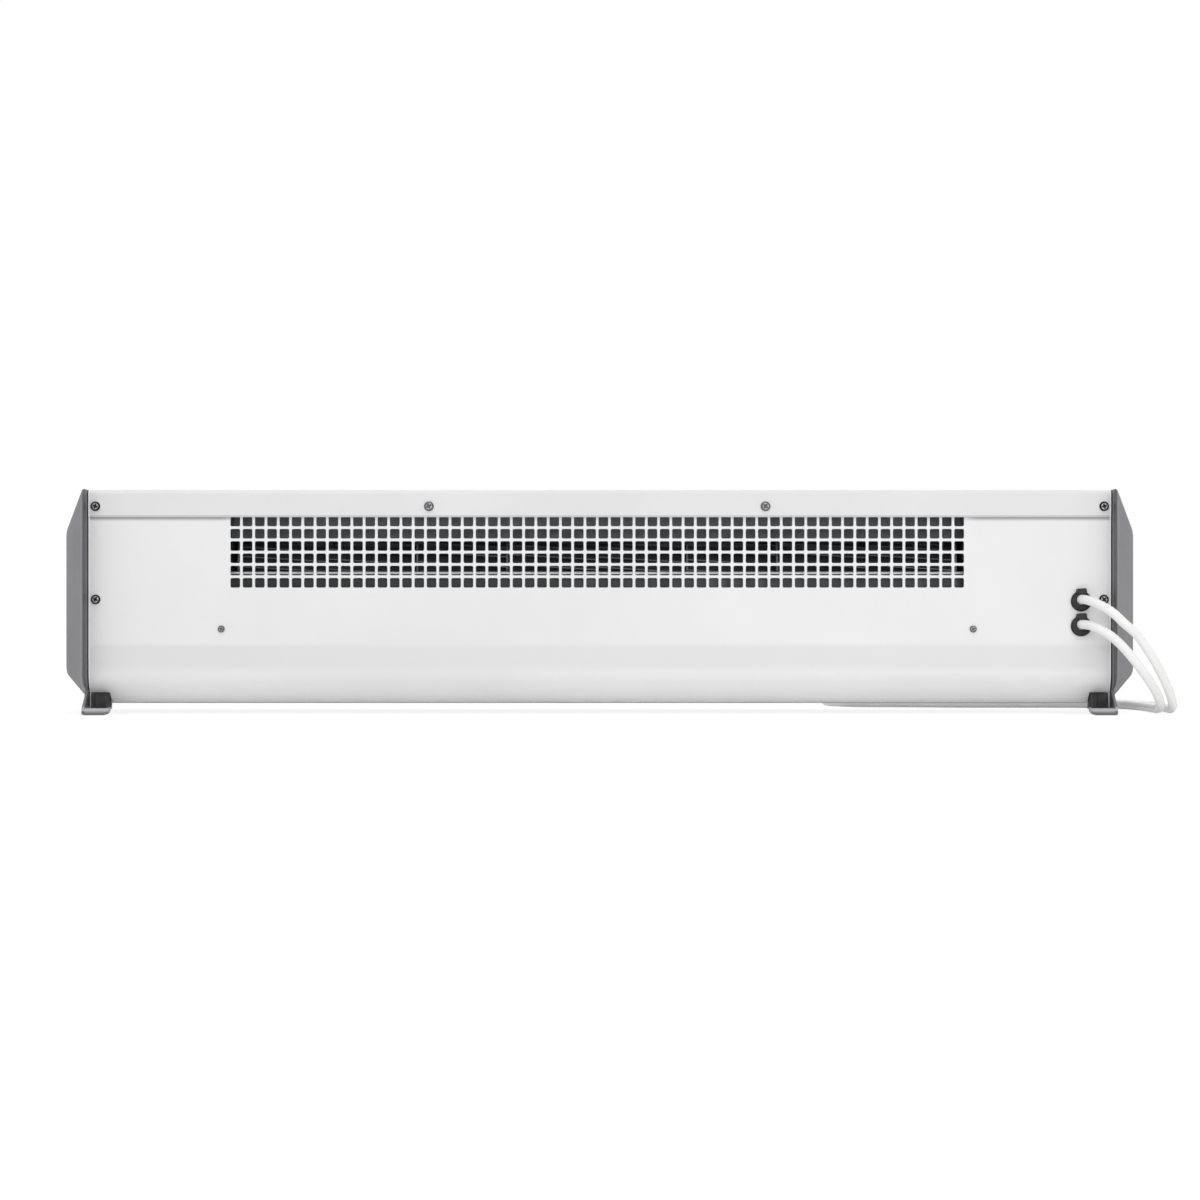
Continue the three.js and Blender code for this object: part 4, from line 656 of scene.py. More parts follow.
def moulded_abs():
    """Mid-grey ABS with a fine spark-eroded grain: a dull, even sheen, slightly cloudy, with
    painted shade on the inner face near the rim, a painted highlight on the rim's outer edge and
    painted highlights round the feet."""
    material, tree, shader = new_material("grey_moulded_abs", 0.55, ior=1.53)
    two_tones(tree, shader, noise(tree, 60, 4), "6F6F72", "78787B")
    # The mould's grain is 0.4 mm; 1.1 mm shows at this size of picture.
    grain = noise(tree, 1.1, 3)
    roughen(tree, shader, grain, 0.48, 0.64)
    raise_surface(tree, shader, grain, 0.05, 0.6)
    zone = zone_factor(tree)
    # Painted shade on the inner face near the rear rim, above the feet.
    inner_face = zone("END", CASE_END + 2.2, CASE_END + 1.6)
    near_rim = zone("Y", -70, -75)
    above_feet = zone("Z", FOOT_WALL_TOP - 8, FOOT_WALL_TOP)
    rim_painted_shade = product(tree, inner_face, near_rim, above_feet, 0.75)
    blend_over(tree, shader, rim_painted_shade, "303032")
    # A painted highlight on the rim's outer edge.
    past_rim = zone("END", CASE_END + 2.3, CASE_END + 2.9)
    before_slope = zone("END", CASE_END + 5.2, CASE_END + 4.2)
    blend_over(tree, shader, product(tree, past_rim, before_slope, 0.5), "8E8E91")
    # A painted highlight round the feet, at the height of their tongues.
    above_sole = zone("Z", 2.2, 4.8)
    below_foot_top = zone("Z", 8.5, 7.2)
    blend_over(tree, shader, product(tree, above_sole, below_foot_top, 0.8), "BCBCBF")
    return material


def moulded_rubber():
    """Black vulcanised rubber: dull and slightly dusty, with a soft pebble."""
    material, tree, shader = new_material("black_moulded_rubber", 0.72, specular=0.25)
    two_tones(tree, shader, noise(tree, 9, 4), "242425", "363637")
    raise_surface(tree, shader, noise(tree, 1.2, 2), 0.08, 0.5)
    return material


def moulded_nylon(name, dark, light, specular=0.5):
    """Moulded nylon 66: smooth with a low sheen, and a faint flow pattern from the mould."""
    material, tree, shader = new_material(name, 0.42, ior=1.53, specular=specular)
    two_tones(tree, shader, noise(tree, 7, 3), dark, light)
    skin = noise(tree, 0.9, 2)
    roughen(tree, shader, skin, 0.36, 0.5)
    raise_surface(tree, shader, skin, 0.03, 0.5)
    return material


def plated_steel(name, dark, light, low_rough, high_rough):
    """Electroplated steel: a metal sheen with fine turning marks; its two darker zinc tones, on the
    screw heads, are painted shade.
    """
    material, tree, shader = new_material(name, 0.4, metallic=1.0)
    stain = noise(tree, 2.5, 4)
    two_tones(tree, shader, stain, dark, light)
    roughen(tree, shader, stain, low_rough, high_rough)
    raise_surface(tree, shader, noise(tree, 0.5, 2), 0.02, 0.5)
    return material


def galvanised_steel(name, dark, light, metallic, painted_light_zone=None, painted_light_tone=None):
    """Hot-dip galvanised sheet: grey metal with a faint spangle of crystals 9 mm across, each
    with its own tone and shine. A sheet may have a painted highlight on its upper part: a lighter
    tone whose zone gives the heights where it begins and is full."""
    material, tree, shader = new_material(name, 0.42, metallic)
    place = object_place(tree)
    crystals = add_node(tree, "TexVoronoi", {"Vector": place, "Scale": per_mm(9)})
    tone = add_node(tree, "RGBToBW", {"Color": crystals.outputs["Color"]}).outputs["Val"]
    two_tones(tree, shader, tone, dark, light, 0.1, 0.9)
    roughen(tree, shader, tone, 0.34, 0.55)
    raise_surface(tree, shader, noise(tree, 1.5, 3), 0.02, 0.4)
    # The painted highlight, where a sheet has one.
    if painted_light_zone:
        blend_over(tree, shader, zone_factor(tree)("Z", *painted_light_zone), painted_light_tone)
    return material


def mill_aluminium(name, dark, light, metallic):
    """Rolled aluminium strip: bright, with fine rolling lines along X."""
    material, tree, shader = new_material(name, 0.38, metallic)
    place = object_place(tree)
    stretched = add_node(tree, "Mapping", {"Vector": place, "Scale": (0.03, 1, 1)})
    lines = noise(tree, 0.8, 3, stretched.outputs["Vector"])
    two_tones(tree, shader, lines, dark, light)
    roughen(tree, shader, lines, 0.3, 0.48)
    raise_surface(tree, shader, lines, 0.02, 0.4)
    return material


def dark_enamel():
    """Baked black enamel on a motor's die-cast shell: low gloss over a sandy casting."""
    material, tree, shader = new_material("dark_motor_enamel", 0.45)
    sand = noise(tree, 1.6, 4)
    two_tones(tree, shader, sand, "2E2F30", "3E3F41")
    raise_surface(tree, shader, sand, 0.12, 0.6)
    return material


def sintered_bronze():
    """Oil-filled sintered bronze: brown metal, porous and half dull."""
    material, tree, shader = new_material("sintered_bronze", 0.5, metallic=1.0)
    pores = add_node(tree, "TexVoronoi", {"Vector": object_place(tree), "Scale": per_mm(0.7)})
    two_tones(tree, shader, pores.outputs["Distance"], "5E4526", "97743F", 0.0, 0.6)
    raise_surface(tree, shader, pores.outputs["Distance"], 0.05, 0.6)
    return material


def heat_tinted_steel():
    """Stainless steel that has been hot: straw, brown and blue tints drift along the tube."""
    material, tree, shader = new_material("heat_tinted_steel", 0.4, metallic=1.0)
    heat = noise(tree, 70, 2)
    two_tones(tree, shader, heat, "8A8783", "5F6673", 0.3, 0.75)
    ramp = shader.inputs["Base Color"].links[0].from_node
    ramp.color_ramp.elements.new(0.45).color = linear("8C7B5D")
    ramp.color_ramp.elements.new(0.6).color = linear("6B5547")
    roughen(tree, shader, heat, 0.3, 0.5)
    return material


def soft_pvc(name, dark, light):
    """Plasticised PVC: smooth, a little waxy, with a faint extrusion ripple."""
    material, tree, shader = new_material(name, 0.42, ior=1.53)
    two_tones(tree, shader, noise(tree, 40, 3), dark, light)
    ripple = noise(tree, 4, 2)
    roughen(tree, shader, ripple, 0.36, 0.5)
    raise_surface(tree, shader, ripple, 0.05, 0.4)
    return material


def solder_mask():
    """Green solder mask over copper tracks: a glossy skin, raised a little over the tracks."""
    material, tree, shader = new_material("green_circuit_board", 0.3)
    upright = (math.radians(90), 0, 0)
    flat = add_node(tree, "Mapping", {"Vector": object_place(tree), "Rotation": upright})
    pattern = {"Scale": per_mm(14), "Mortar Size": 0.05, "Color1": (0, 0, 0, 1)}
    tracks = add_node(tree, "TexBrick", {"Vector": flat.outputs["Vector"], **pattern})
    two_tones(tree, shader, tracks.outputs["Fac"], "1D5534", "2F7A4C", 0.1, 0.9)
    raise_surface(tree, shader, tracks.outputs["Fac"], 0.04, 0.6)
    return material


WHITE_STEEL = cover_steel()
PANEL_STEEL = panel_steel()
GREY_ABS = moulded_abs()
RUBBER = moulded_rubber()
BLACK_NYLON = moulded_nylon("black_nylon", "19191A", "252526", 0.3)
WHITE_NYLON = moulded_nylon("white_nylon", "E3E3DE", "EDEDE8")
BLUE_CASE = moulded_nylon("blue_relay_case", "204B73", "28598A")
ZINC = plated_steel("zinc_plated_steel", "858688", "A5A6A8", 0.32, 0.5)
# Darker zinc tones for the screw heads' recesses and rims: painted shade.
ZINC_DEEP_SHADE = plated_steel("zinc_in_deep_painted_shade", "1B1B1C", "2B2B2C", 0.45, 0.65)
ZINC_SHADE = plated_steel("zinc_in_painted_shade", "5C5D5F", "747577", 0.4, 0.6)
GALVANISED = galvanised_steel("galvanised_steel_sheet", "9A9EA0", "B2B6B8", 0.9)
# The scroll has a painted highlight on its upper part, above the fan.
SCROLL_STEEL = galvanised_steel(
    "galvanised_scroll", "787B7E", "86898C", 0.5, (AXIS_Z + 37, AXIS_Z + 42), "A6A9AC"
)
# The rear wall is painted darker as painted shade inside the duct, with a painted highlight along
# its lip's fold.
WALL_STEEL = galvanised_steel(
    "shade_darkened_galvanised_wall", "3A3B3D", "47484A", 0.5, (LIP_Z - 2.5, LIP_Z - 1.9), "E4E5E6"
)
ALUMINIUM = mill_aluminium("mill_finish_aluminium", "A9ABAD", "C0C2C4", 1.0)
# Aluminium painted darker as painted shade, for the wheel deep in the duct.
FAN_STRIP = mill_aluminium("shade_darkened_aluminium_fan_strip", "595B5E", "6E7073", 0.6)
GROUND_STEEL = plated_steel("ground_steel", "8C8E90", "A2A4A6", 0.22, 0.36)
ENAMEL = dark_enamel()
BRONZE = sintered_bronze()
HOT_STEEL = heat_tinted_steel()
CORD_PVC = soft_pvc("white_soft_pvc", "EDEDEC", "F3F3F2")
BROWN_PVC = soft_pvc("brown_core_pvc", "5B3420", "6A3F28")
BLUE_PVC = soft_pvc("blue_core_pvc", "1F4F8C", "265C9E")
GREEN_PVC = soft_pvc("green_core_pvc", "3E8A3A", "4A9A45")
BOARD_GREEN = solder_mask()


# ---------------------------------------------------------------- cords

# The free stretches, point by point, in metres; the first number is x from the case's end.
SUPPLY_ROUTE = [
    (-0.0294, -0.0688, 0.1126), (-0.0294, -0.0740, 0.1126), (-0.0281, -0.0840, 0.1122),
    (-0.0245, -0.0935, 0.1107), (-0.0190, -0.1015, 0.1079), (-0.0122, -0.1077, 0.1035),
    (-0.0048, -0.1116, 0.0977), (0.0026, -0.1129, 0.0904), (0.0160, -0.1125, 0.0784),
    (0.0260, -0.1108, 0.0651), (0.0344, -0.1073, 0.0526), (0.0416, -0.1018, 0.0409),
    (0.0480, -0.0944, 0.0303), (0.0536, -0.0850, 0.0210), (0.0584, -0.0725, 0.0129),
    (0.0620, -0.0565, 0.0074), (0.0640, -0.0370, 0.0048), (0.0648, -0.0150, 0.0046),
    (0.0646, 0.0100, 0.0046), (0.0620, 0.0380, 0.0046), (0.0545, 0.0660, 0.0046),
    (0.0390, 0.0900, 0.0046), (0.0160, 0.1055, 0.0046), (-0.0120, 0.1110, 0.0046),
    (-0.0420, 0.1110, 0.0046), (-0.0657, 0.1110, 0.0046),
]
CONTROL_ROUTE = [
    (-0.0294, -0.0688, 0.0882), (-0.0294, -0.0740, 0.0882), (-0.0281, -0.0838, 0.0880),
    (-0.0244, -0.0930, 0.0871), (-0.0188, -0.1008, 0.0843), (-0.0118, -0.1069, 0.0798),
    (-0.0042, -0.1106, 0.0736), (0.0033, -0.1119, 0.0660), (0.0136, -0.1106, 0.0542),
    (0.0224, -0.1080, 0.0432), (0.0300, -0.1036, 0.0332), (0.0366, -0.0966, 0.0246),
    (0.0420, -0.0870, 0.0171), (0.0462, -0.0740, 0.0110), (0.0490, -0.0580, 0.0068),
    (0.0502, -0.0380, 0.0049), (0.0506, -0.0150, 0.0046), (0.0500, 0.0080, 0.0046),
    (0.0470, 0.0330, 0.0046), (0.0390, 0.0570, 0.0046), (0.0250, 0.0775, 0.0046),
    (0.0040, 0.0915, 0.0046), (-0.0230, 0.0974, 0.0046), (-0.0550, 0.0982, 0.0046),
    (-0.0900, 0.0982, 0.0046), (-0.1250, 0.0994, 0.0046), (-0.1550, 0.1036, 0.0046),
    (-0.1750, 0.1084, 0.0046), (-0.1890, 0.1109, 0.0046), (-0.1987, 0.1110, 0.0046),
]
SUPPLY_TAIL = [
    (-0.0294, -0.0685, 0.1126), (-0.0294, -0.0520, 0.1126), (-0.0306, -0.0400, 0.1080),
    (-0.0370, -0.0290, 0.0930), (-0.0460, -0.0180, 0.0740), (-0.0514, -0.0090, 0.0640),
    (-0.0524, -0.0010, 0.0603), (-0.0525, 0.0084, 0.0600),
]
CONTROL_TAIL = [
    (-0.0294, -0.0685, 0.0882), (-0.0294, -0.0520, 0.0882), (-0.0350, -0.0420, 0.0840),
    (-0.0540, -0.0370, 0.0740), (-0.0740, -0.0260, 0.0650), (-0.0840, -0.0110, 0.0606),
    (-0.0854, -0.0010, 0.0600), (-0.0855, 0.0084, 0.0600),
]


def route_mm(route):
    """A route in millimetres of the frame."""
    return np.array(route) / MM + [CASE_END, 0, 0]


def coil_points(centre_x):
    """Turns that draw in by one pitch a turn, climb a layer in the half turn where the spiral
    reverses, and go out again on top; the two ends run straight for one cord diameter."""
    turns = 2 * COIL_TURNS_IN + 0.5
    turn = np.linspace(0, turns, round(turns * COIL_STEPS) + 1)
    radius = COIL_RADIUS - COIL_PITCH * np.minimum(turn, turns - turn)
    climb = smoothstep(turn, COIL_TURNS_IN, COIL_TURNS_IN + 0.5)
    angle = -math.pi / 2 - 2 * math.pi * turn
    x = centre_x + radius * np.cos(angle)
    y = COIL_Y + radius * np.sin(angle)
    wound = np.stack([x, y, CORD_REST + COIL_PITCH * climb], 1)
    edge = COIL_Y - COIL_RADIUS
    before = [centre_x + 2 * CORD_RADIUS, edge, CORD_REST]
    after = [centre_x - 2 * CORD_RADIUS, edge, CORD_REST + COIL_PITCH]
    return np.vstack([before, wound, after])


def coil_tie(name, centre_x):
    """A strap round the coil's strands where they cross +Y: the hull of the strands' circles,
    a little larger for the strap's outside, kept above the floor, with a small buckle."""
    strap_half_width = 2.4
    strap_thickness = 0.9
    slack = 0.1
    half_turns = np.array([0.5, 1.5, 2.5])
    spiral = COIL_RADIUS - COIL_PITCH * np.minimum(half_turns, 3 - half_turns)
    height = CORD_REST + COIL_PITCH * smoothstep(half_turns, COIL_TURNS_IN, COIL_TURNS_IN + 0.5)
    centres = np.stack([COIL_Y + spiral, height], 1)
    outward = directions(full_turn(64))
    strand = centres[(outward @ centres.T).argmax(1)]
    inner = strand + outward * (CORD_RADIUS + slack)
    outer = inner + outward * strap_thickness
    inner[:, 1] = np.maximum(inner[:, 1], 0.06)
    outer[:, 1] = np.maximum(outer[:, 1], 0.0)
    left, right = centre_x - strap_half_width, centre_x + strap_half_width
    rounds = ((outer, left), (outer, right), (inner, right), (inner, left))
    strap = loft(np.stack([np.insert(ring, 0, x, axis=1) for ring, x in rounds]), wrap=True)
    y = COIL_Y + spiral[0]
    z = height[2] + CORD_RADIUS + strap_thickness
    low, high = z - 0.6, z + 2.4
    rear, front = y - 3.6, y + 3.6
    section = [(rear, low, 0.5), (rear, high, 1.2), (front, high, 1.2), (front, low, 0.5)]
    buckle = prism(rounded_path(section, closed=True), 0, [left - 1, right + 1])
    return make_piece(name, [(strap, BLACK_NYLON), (buckle, BLACK_NYLON)])


def cord_end(name, node, centre_x):
    """The stripped end: the sheath's edge, and three cores that part a little, each with a
    tinned ferrule."""
    start = centre_x - 2 * CORD_RADIUS - SEAT_GAP
    y = COIL_Y - COIL_RADIUS
    z = CORD_REST + COIL_PITCH
    sheath_length = 6
    core_length = 24
    core_away = 2.3
    edge = start - sheath_length
    sheath = [(start, 4.3), (start, 4.5), (edge + 0.4, 4.5), (edge, 4.2), (edge, 1)]
    parts = [(turned(sheath, (y, z), CORD_SIDES), CORD_PVC)]
    bare = edge - core_length
    core = [(start - 3, 0.6), (start - 3, 1.35), (bare + 0.2, 1.35), (bare, 1.1), (bare, 0.4)]
    tip = bare - 9
    ferrule = [(bare + 3, 0.5), (bare + 3, 0.9), (tip + 0.4, 0.9), (tip, 0.7), (tip, 0.2)]
    collar = [(bare + 1.5, 0.9), (bare + 1.4, 1.6), (bare - 1.2, 1.5), (bare - 1.4, 0.8)]
    for index, colour in enumerate((BROWN_PVC, BLUE_PVC, GREEN_PVC)):
        angle = math.pi / 2 + 2 * math.pi * index / 3
        centre = (y + core_away * math.cos(angle), z + core_away * math.sin(angle))
        for profile, material in ((core, colour), (ferrule, ZINC), (collar, WHITE_NYLON)):
            parts.append((turned(profile, centre, 16), material))
    return make_piece(name, parts, replaced=[node])


def cord_piece(name, path, nodes):
    """A cord's round skin along a path."""
    parts = [(cord_skin(path), CORD_PVC)]
    return make_piece(name, parts, replaced=nodes)


def free_cord(name, route, centre_x):
    """One unbroken cord: its free stretch from the bushing to the floor, and its coil."""
    chosen = np.vstack([route_mm(route)[:-1], coil_points(centre_x)])
    path = evenly(smooth_route(chosen, ROUTE_STEPS), 3)
    cord = cord_piece(name + "_lead", path, [name + "_cord", name + "_cord_coil"])
    end = cord_end(name + "_lead_end", name + "_cord_end", centre_x)
    tie = coil_tie(name + "_lead_tie", centre_x)


def cord_tail(name, route):
    """The stretch of a cord inside the case."""
    path = evenly(smooth_route(route_mm(route), ROUTE_STEPS), 4)
    cord_piece(name + "_lead_inside", path, [name + "_cord_tail"])


free_cord("supply", SUPPLY_ROUTE, SUPPLY_COIL_X)
free_cord("control", CONTROL_ROUTE, CONTROL_COIL_X)
cord_tail("supply", SUPPLY_TAIL)
cord_tail("control", CONTROL_TAIL)


# ---------------------------------------------------------------- case sheets


def front_cover():
    """The cover's sheet from its flange over the panel, round the top and down the front."""
    corners = [
        (FLANGE_Y, FLANGE_EDGE, 0),
        (FLANGE_Y, CASE_TOP, TOP_FOLD),
        *FRONT_CORNERS,
        (OUTLET_FRONT + SHEET + SEAT_GAP, CASE_BOTTOM, 0),
    ]
    sheet = bent_sheet(rounded_path(corners), -SHEET, [-CASE_END, CASE_END])
    parts = [(sheet, WHITE_STEEL)]
    make_piece("cover_sheet", parts, replaced=["front_cover"], bevel=0.25)


def on_panel(along, x, depth):
    """The point of the panel at a distance along its outer face from the top edge, at x, and at
    a depth inside: the face is upright, curves forward under the case and runs on flat, and the
    point is moved along its inward normal."""
    turn = np.clip((along - PANEL_FLAT) / PANEL_CURVE, 0, math.pi / 2)
    after = np.maximum(along - PANEL_FLAT - PANEL_CURVE * math.pi / 2, 0)
    reach = PANEL_CURVE - depth
    y = PANEL_Y + PANEL_CURVE - reach * np.cos(turn) + after
    z = PANEL_TOP - np.minimum(along, PANEL_FLAT) - reach * np.sin(turn)
    return np.stack(np.broadcast_arrays(x, y, z), -1)


def grille_hole_cells():
    """Every cell of the grille: a square with a rounded hole, whose edge rolls in, whose wall
    goes through the sheet, and the same square on the back. 40 faces a cell."""
    square = np.array([[1, 1], [-1, 1], [-1, -1], [1, -1]])
    turns = (np.radians([0, 90, 180, 270])[:, None] + np.radians([0, 45, 90])).ravel()
    circle = directions(turns)
    straight = np.repeat(square, 3, axis=0) * (GRILLE_HOLE / 2 - GRILLE_HOLE_RADIUS)
    rolled = straight + (GRILLE_HOLE_RADIUS + GRILLE_ROLL) * circle
    wall = straight + GRILLE_HOLE_RADIUS * circle
    cell = square * GRILLE_PITCH / 2
    local = np.vstack([cell, rolled, wall, wall, cell])
    depths = np.repeat([0, 0, GRILLE_ROLL, SHEET, SHEET], [4, 12, 12, 12, 4])
    k = np.arange(4)
    following = (k + 1) % 4

    def collar(corner, ring):
        """Faces between a square and a ring that start at these points: one a corner and one
        a side."""
        corners = [corner + k, ring + 3 * k + 2, ring + 3 * k + 1, ring + 3 * k]
        sides = [corner + k, corner + following, ring + 3 * following, ring + 3 * k + 2]
        return np.vstack([np.stack(corners, 1), np.stack(sides, 1)])

    walls = grid_quads(3, 12, False, True) + 4
    cell_faces = np.vstack([collar(0, 4), walls[:, ::-1], collar(40, 28)[:, ::-1]])
    row, column = np.meshgrid(np.arange(GRILLE_ROWS), np.arange(GRILLE_COLUMNS), indexing="ij")
    middle_x = GRILLE_LEFT + (column.ravel() + 0.5) * GRILLE_PITCH
    middle_along = PANEL_TOP - GRILLE_TOP + (row.ravel() + 0.5) * GRILLE_PITCH
    x = middle_x[:, None] + local[:, 0]
    along = middle_along[:, None] - local[:, 1]
    points = on_panel(along, x, depths)
    starts = np.arange(len(points))[:, None, None] * len(local)
    return points.reshape(-1, 3), (cell_faces + starts).reshape(-1, 4)


def grid_lines(*groups):
    """The distinct values of the groups, in order."""
    return np.unique(np.concatenate(groups).round(6))


def intake_panel():
    """The panel as a bent slab: a grid of lines along and across it, less the cells of the
    grille and of the two notches, with walls round what is left, and the grille's own cells."""
    grille_start = PANEL_TOP - GRILLE_TOP
    grille_end = grille_start + GRILLE_ROWS * GRILLE_PITCH
    grille_right = GRILLE_LEFT + GRILLE_COLUMNS * GRILLE_PITCH
    notch_low = math.asin((CASE_BOTTOM + PANEL_CURVE - NOTCH_TOP) / PANEL_CURVE)
    notch_high = math.acos((PANEL_Y + PANEL_CURVE - NOTCH_FRONT) / PANEL_CURVE)
    notch = PANEL_FLAT + PANEL_CURVE * np.array([notch_low, notch_high])
    flat_below = OUTLET_REAR - SHEET - SEAT_GAP - PANEL_Y - PANEL_CURVE
    alongs = grid_lines(
        [0, PANEL_FLAT + PANEL_CURVE * math.pi / 2 + flat_below],
        grille_start + GRILLE_PITCH * np.arange(GRILLE_ROWS + 1),
        PANEL_FLAT + PANEL_CURVE * np.radians(np.arange(0, 91, 5)),
        notch,
    )
    xs = grid_lines(
        [-CASE_END, -NOTCH_X, NOTCH_X, CASE_END],
        GRILLE_LEFT + GRILLE_PITCH * np.arange(GRILLE_COLUMNS + 1),
    )
    along, x = np.meshgrid(alongs, xs, indexing="ij")
    faces = [on_panel(along, x, depth).reshape(-1, 3) for depth in (0, SHEET)]
    middle_along = ((alongs[1:] + alongs[:-1]) / 2)[:, None]
    middle_x = ((xs[1:] + xs[:-1]) / 2)[None, :]
    in_rows = (middle_along > grille_start) & (middle_along < grille_end)
    in_columns = (middle_x > GRILLE_LEFT) & (middle_x < grille_right)
    notched = (middle_along > notch[0]) & (middle_along < notch[1]) & (abs(middle_x) > NOTCH_X)
    kept = ~notched
    sheet = (kept & ~(in_rows & in_columns)).ravel()
    quads = grid_quads(len(alongs), len(xs))
    to_back = len(alongs) * len(xs)
    slab = [quads[sheet], quads[sheet][:, ::-1] + to_back]
    padded = np.pad(kept, 1)
    neighbours = (padded[:-2, 1:-1], padded[1:-1, 2:], padded[2:, 1:-1], padded[1:-1, :-2])
    for side, beside in enumerate(neighbours):
        is_open = (kept & ~beside).ravel()
        a, b = quads[is_open, side], quads[is_open, (side + 1) % 4]
        slab.append(np.stack([b, a, a + to_back, b + to_back], 1))
    hole_points, hole_faces = grille_hole_cells()
    points = np.vstack([*faces, hole_points])
    skin = (points, [np.vstack(slab), hole_faces + 2 * to_back])
    parts = [(skin, PANEL_STEEL)]
    make_piece("intake_panel", parts, replaced=["rear_panel"], sharp=50)


front_cover()
intake_panel()


# ---------------------------------------------------------------- end caps and feet


def cap_rings(side):
    """The cap's skin from the middle of its outer face, over the ridge, down the slopes, round
    the rim, through the window and back up inside. Each ring mixes the rim's and the face's
    outlines, which share their outward directions, so the slopes are straight between them."""
    turns = outline_turns(CAP_CORNERS, CAP_FACE_CORNERS, CASE_CORNERS)
    outward = directions(turns)
    rim = outline(CAP_CORNERS, turns)
    face = outline(CAP_FACE_CORNERS, turns)
    slope = CAP_RISE - CAP_RIM
    ridge_end = 0.93
    rim_start = 0.035
    inner_face = CAP_INNER_FACE
    parts = np.linspace(ridge_end, rim_start, 6)
    slope_points = [(CAP_RIM + slope * part, part, 0) for part in parts]
    stations = np.vstack(
        [
            bezier((CAP_RISE, 1, 4), (CAP_RISE, 1, 0.3), slope_points[0], 6),
            slope_points[1:-1],
            bezier(slope_points[-1], (CAP_RIM, 0, 0), (CAP_RIM - 1, 0, 0), 4),
            bezier((inner_face + 0.5, 0, 0), (inner_face, 0, 0), (inner_face, 0, 0.5), 3),
        ]
    )
    rings = []
    for rise, mix, sunk in stations:
        section = rim * (1 - mix) + face * mix - outward * sunk
        rings.append(np.insert(section, 0, side * (CASE_END + rise), axis=1))
    seat = inset(CASE_CORNERS, 11)
    window = inset(CASE_CORNERS, 14)
    inner = [
        (CAP_INNER_FACE, seat),
        (SEAT_GAP, seat),
        (SEAT_GAP, window),
        (CAP_RIM, window),
        (CAP_RIM, inset(CAP_CORNERS, 6)),
        (CAP_RISE - CAP_WALL, inset(CAP_FACE_CORNERS, CAP_WALL)),
    ]
    for rise, corners in inner:
        rings.append(np.insert(outline(corners, turns), 0, side * (CASE_END + rise), axis=1))
    return loft(np.stack(rings))


def foot_wall(side, rear, front, necked):
    """The cap's wall below its rim: upright, drawn in to a neck above the rear foot's heel."""
    corners = [(rear, FOOT_WALL_LOW, 0.5)]
    if necked:
        corners += [
            (rear, FOOT_THICK, 1),
            (rear + 13, FOOT_WALL_TOP - 8, 5),
            (rear + 21, FOOT_WALL_TOP, 0.5),
        ]
    else:
        corners += [(rear, FOOT_WALL_TOP, 0.5)]
    corners += [(front, FOOT_WALL_TOP, 0.5), (front, FOOT_WALL_LOW, 0.5)]
    section = rounded_path(corners, closed=True)
    return prism(section, 0, [side * FOOT_WALL_INNER, side * FOOT_WALL_OUTER])


def foot_tongue(side, foot, root, end, sole, end_radius, step_back):
    """A foot's tongue: its section, with a round lower corner at its free end, is carried along
    Y. At both ends it is scaled towards its root and its middle height as a quarter circle
    falls, and behind the lip its free end steps back along a smooth curve."""
    step_start = 14
    step_end = 26
    corners = [
        (side * root, FOOT_THICK, 0.9),
        (side * end, FOOT_THICK, 0.9),
        (side * end, sole, end_radius),
        (side * root, sole, 1.8),
    ]
    section = rounded_path(corners, closed=True)
    half = (FOOT_THICK - sole) / 2
    middle = np.array([side * root, sole + half])
    nose = half * 0.85
    quarter = np.radians(np.linspace(0, 90, 9))
    sunk = nose * (1 - np.sin(quarter))
    away = nose * (1 - np.cos(quarter))
    step_y = np.linspace(step_start, step_end, 7)
    y = np.concatenate([foot[0] + away, foot[0] + step_y, foot[1] - away[::-1]])
    sunk = np.concatenate([sunk, 0 * step_y, sunk[::-1]])
    short = sunk + step_back * smoothstep(y - foot[0], step_start, step_end)
    scale = np.stack([1 - short / abs(end - root), 1 - sunk / half], 1)
    rings = middle + (section - middle) * scale[:, None]
    depth = np.repeat(y[:, None], len(section), 1)
    return loft(np.stack([rings[:, :, 0], depth, rings[:, :, 1]], 2))


def end_cap(name, side):
    """A cap's shell with the walls and tongues of its two feet."""
    skins = [
        cap_rings(side),
        foot_wall(side, *REAR_FOOT, True),
        foot_wall(side, *FRONT_FOOT, False),
        foot_tongue(side, REAR_FOOT, FOOT_WALL_OUTER, REAR_FOOT_END, **REAR_TONGUE),
        foot_tongue(side, FRONT_FOOT, FOOT_WALL_INNER, FRONT_FOOT_END, **FRONT_TONGUE),
    ]
    parts = [(skin, GREY_ABS) for skin in skins]
    node = "end_cap_" + name
    make_piece("cap_shell_" + name, parts, replaced=[node], bevel=0.3)


def foot_block(name, node, grooved):
    """A rubber block with rounded corners in plan, and a narrow groove up its rear face."""
    low, high = box_mm(node)
    corners = [(low[0], low[1], 0.8)]
    if grooved:
        left, right = low[0] + 3.1, low[0] + 4.3
        bed = low[1] + 1
        corners += [(left, low[1], 0.2), (left, bed, 0.2), (right, bed, 0.2), (right, low[1], 0.2)]
    corners += [(high[0], low[1], 0.8), (high[0], high[1], 0.8), (low[0], high[1], 0.8)]
    section = rounded_path(corners, closed=True, arc_step=math.radians(20))
    block = prism(section, 2, [low[2], high[2]])
    make_piece(name, [(block, RUBBER)], replaced=[node], bevel=0.35)


for side_name, side_sign in (("left", -1), ("right", 1)):
    end_cap(side_name, side_sign)
    foot_block("rear_rubber_block_" + side_name, "rear_foot_block_" + side_name, True)
    foot_block("front_rubber_pad_" + side_name, "front_foot_pad_" + side_name, False)


# ---------------------------------------------------------------- screws and bushings

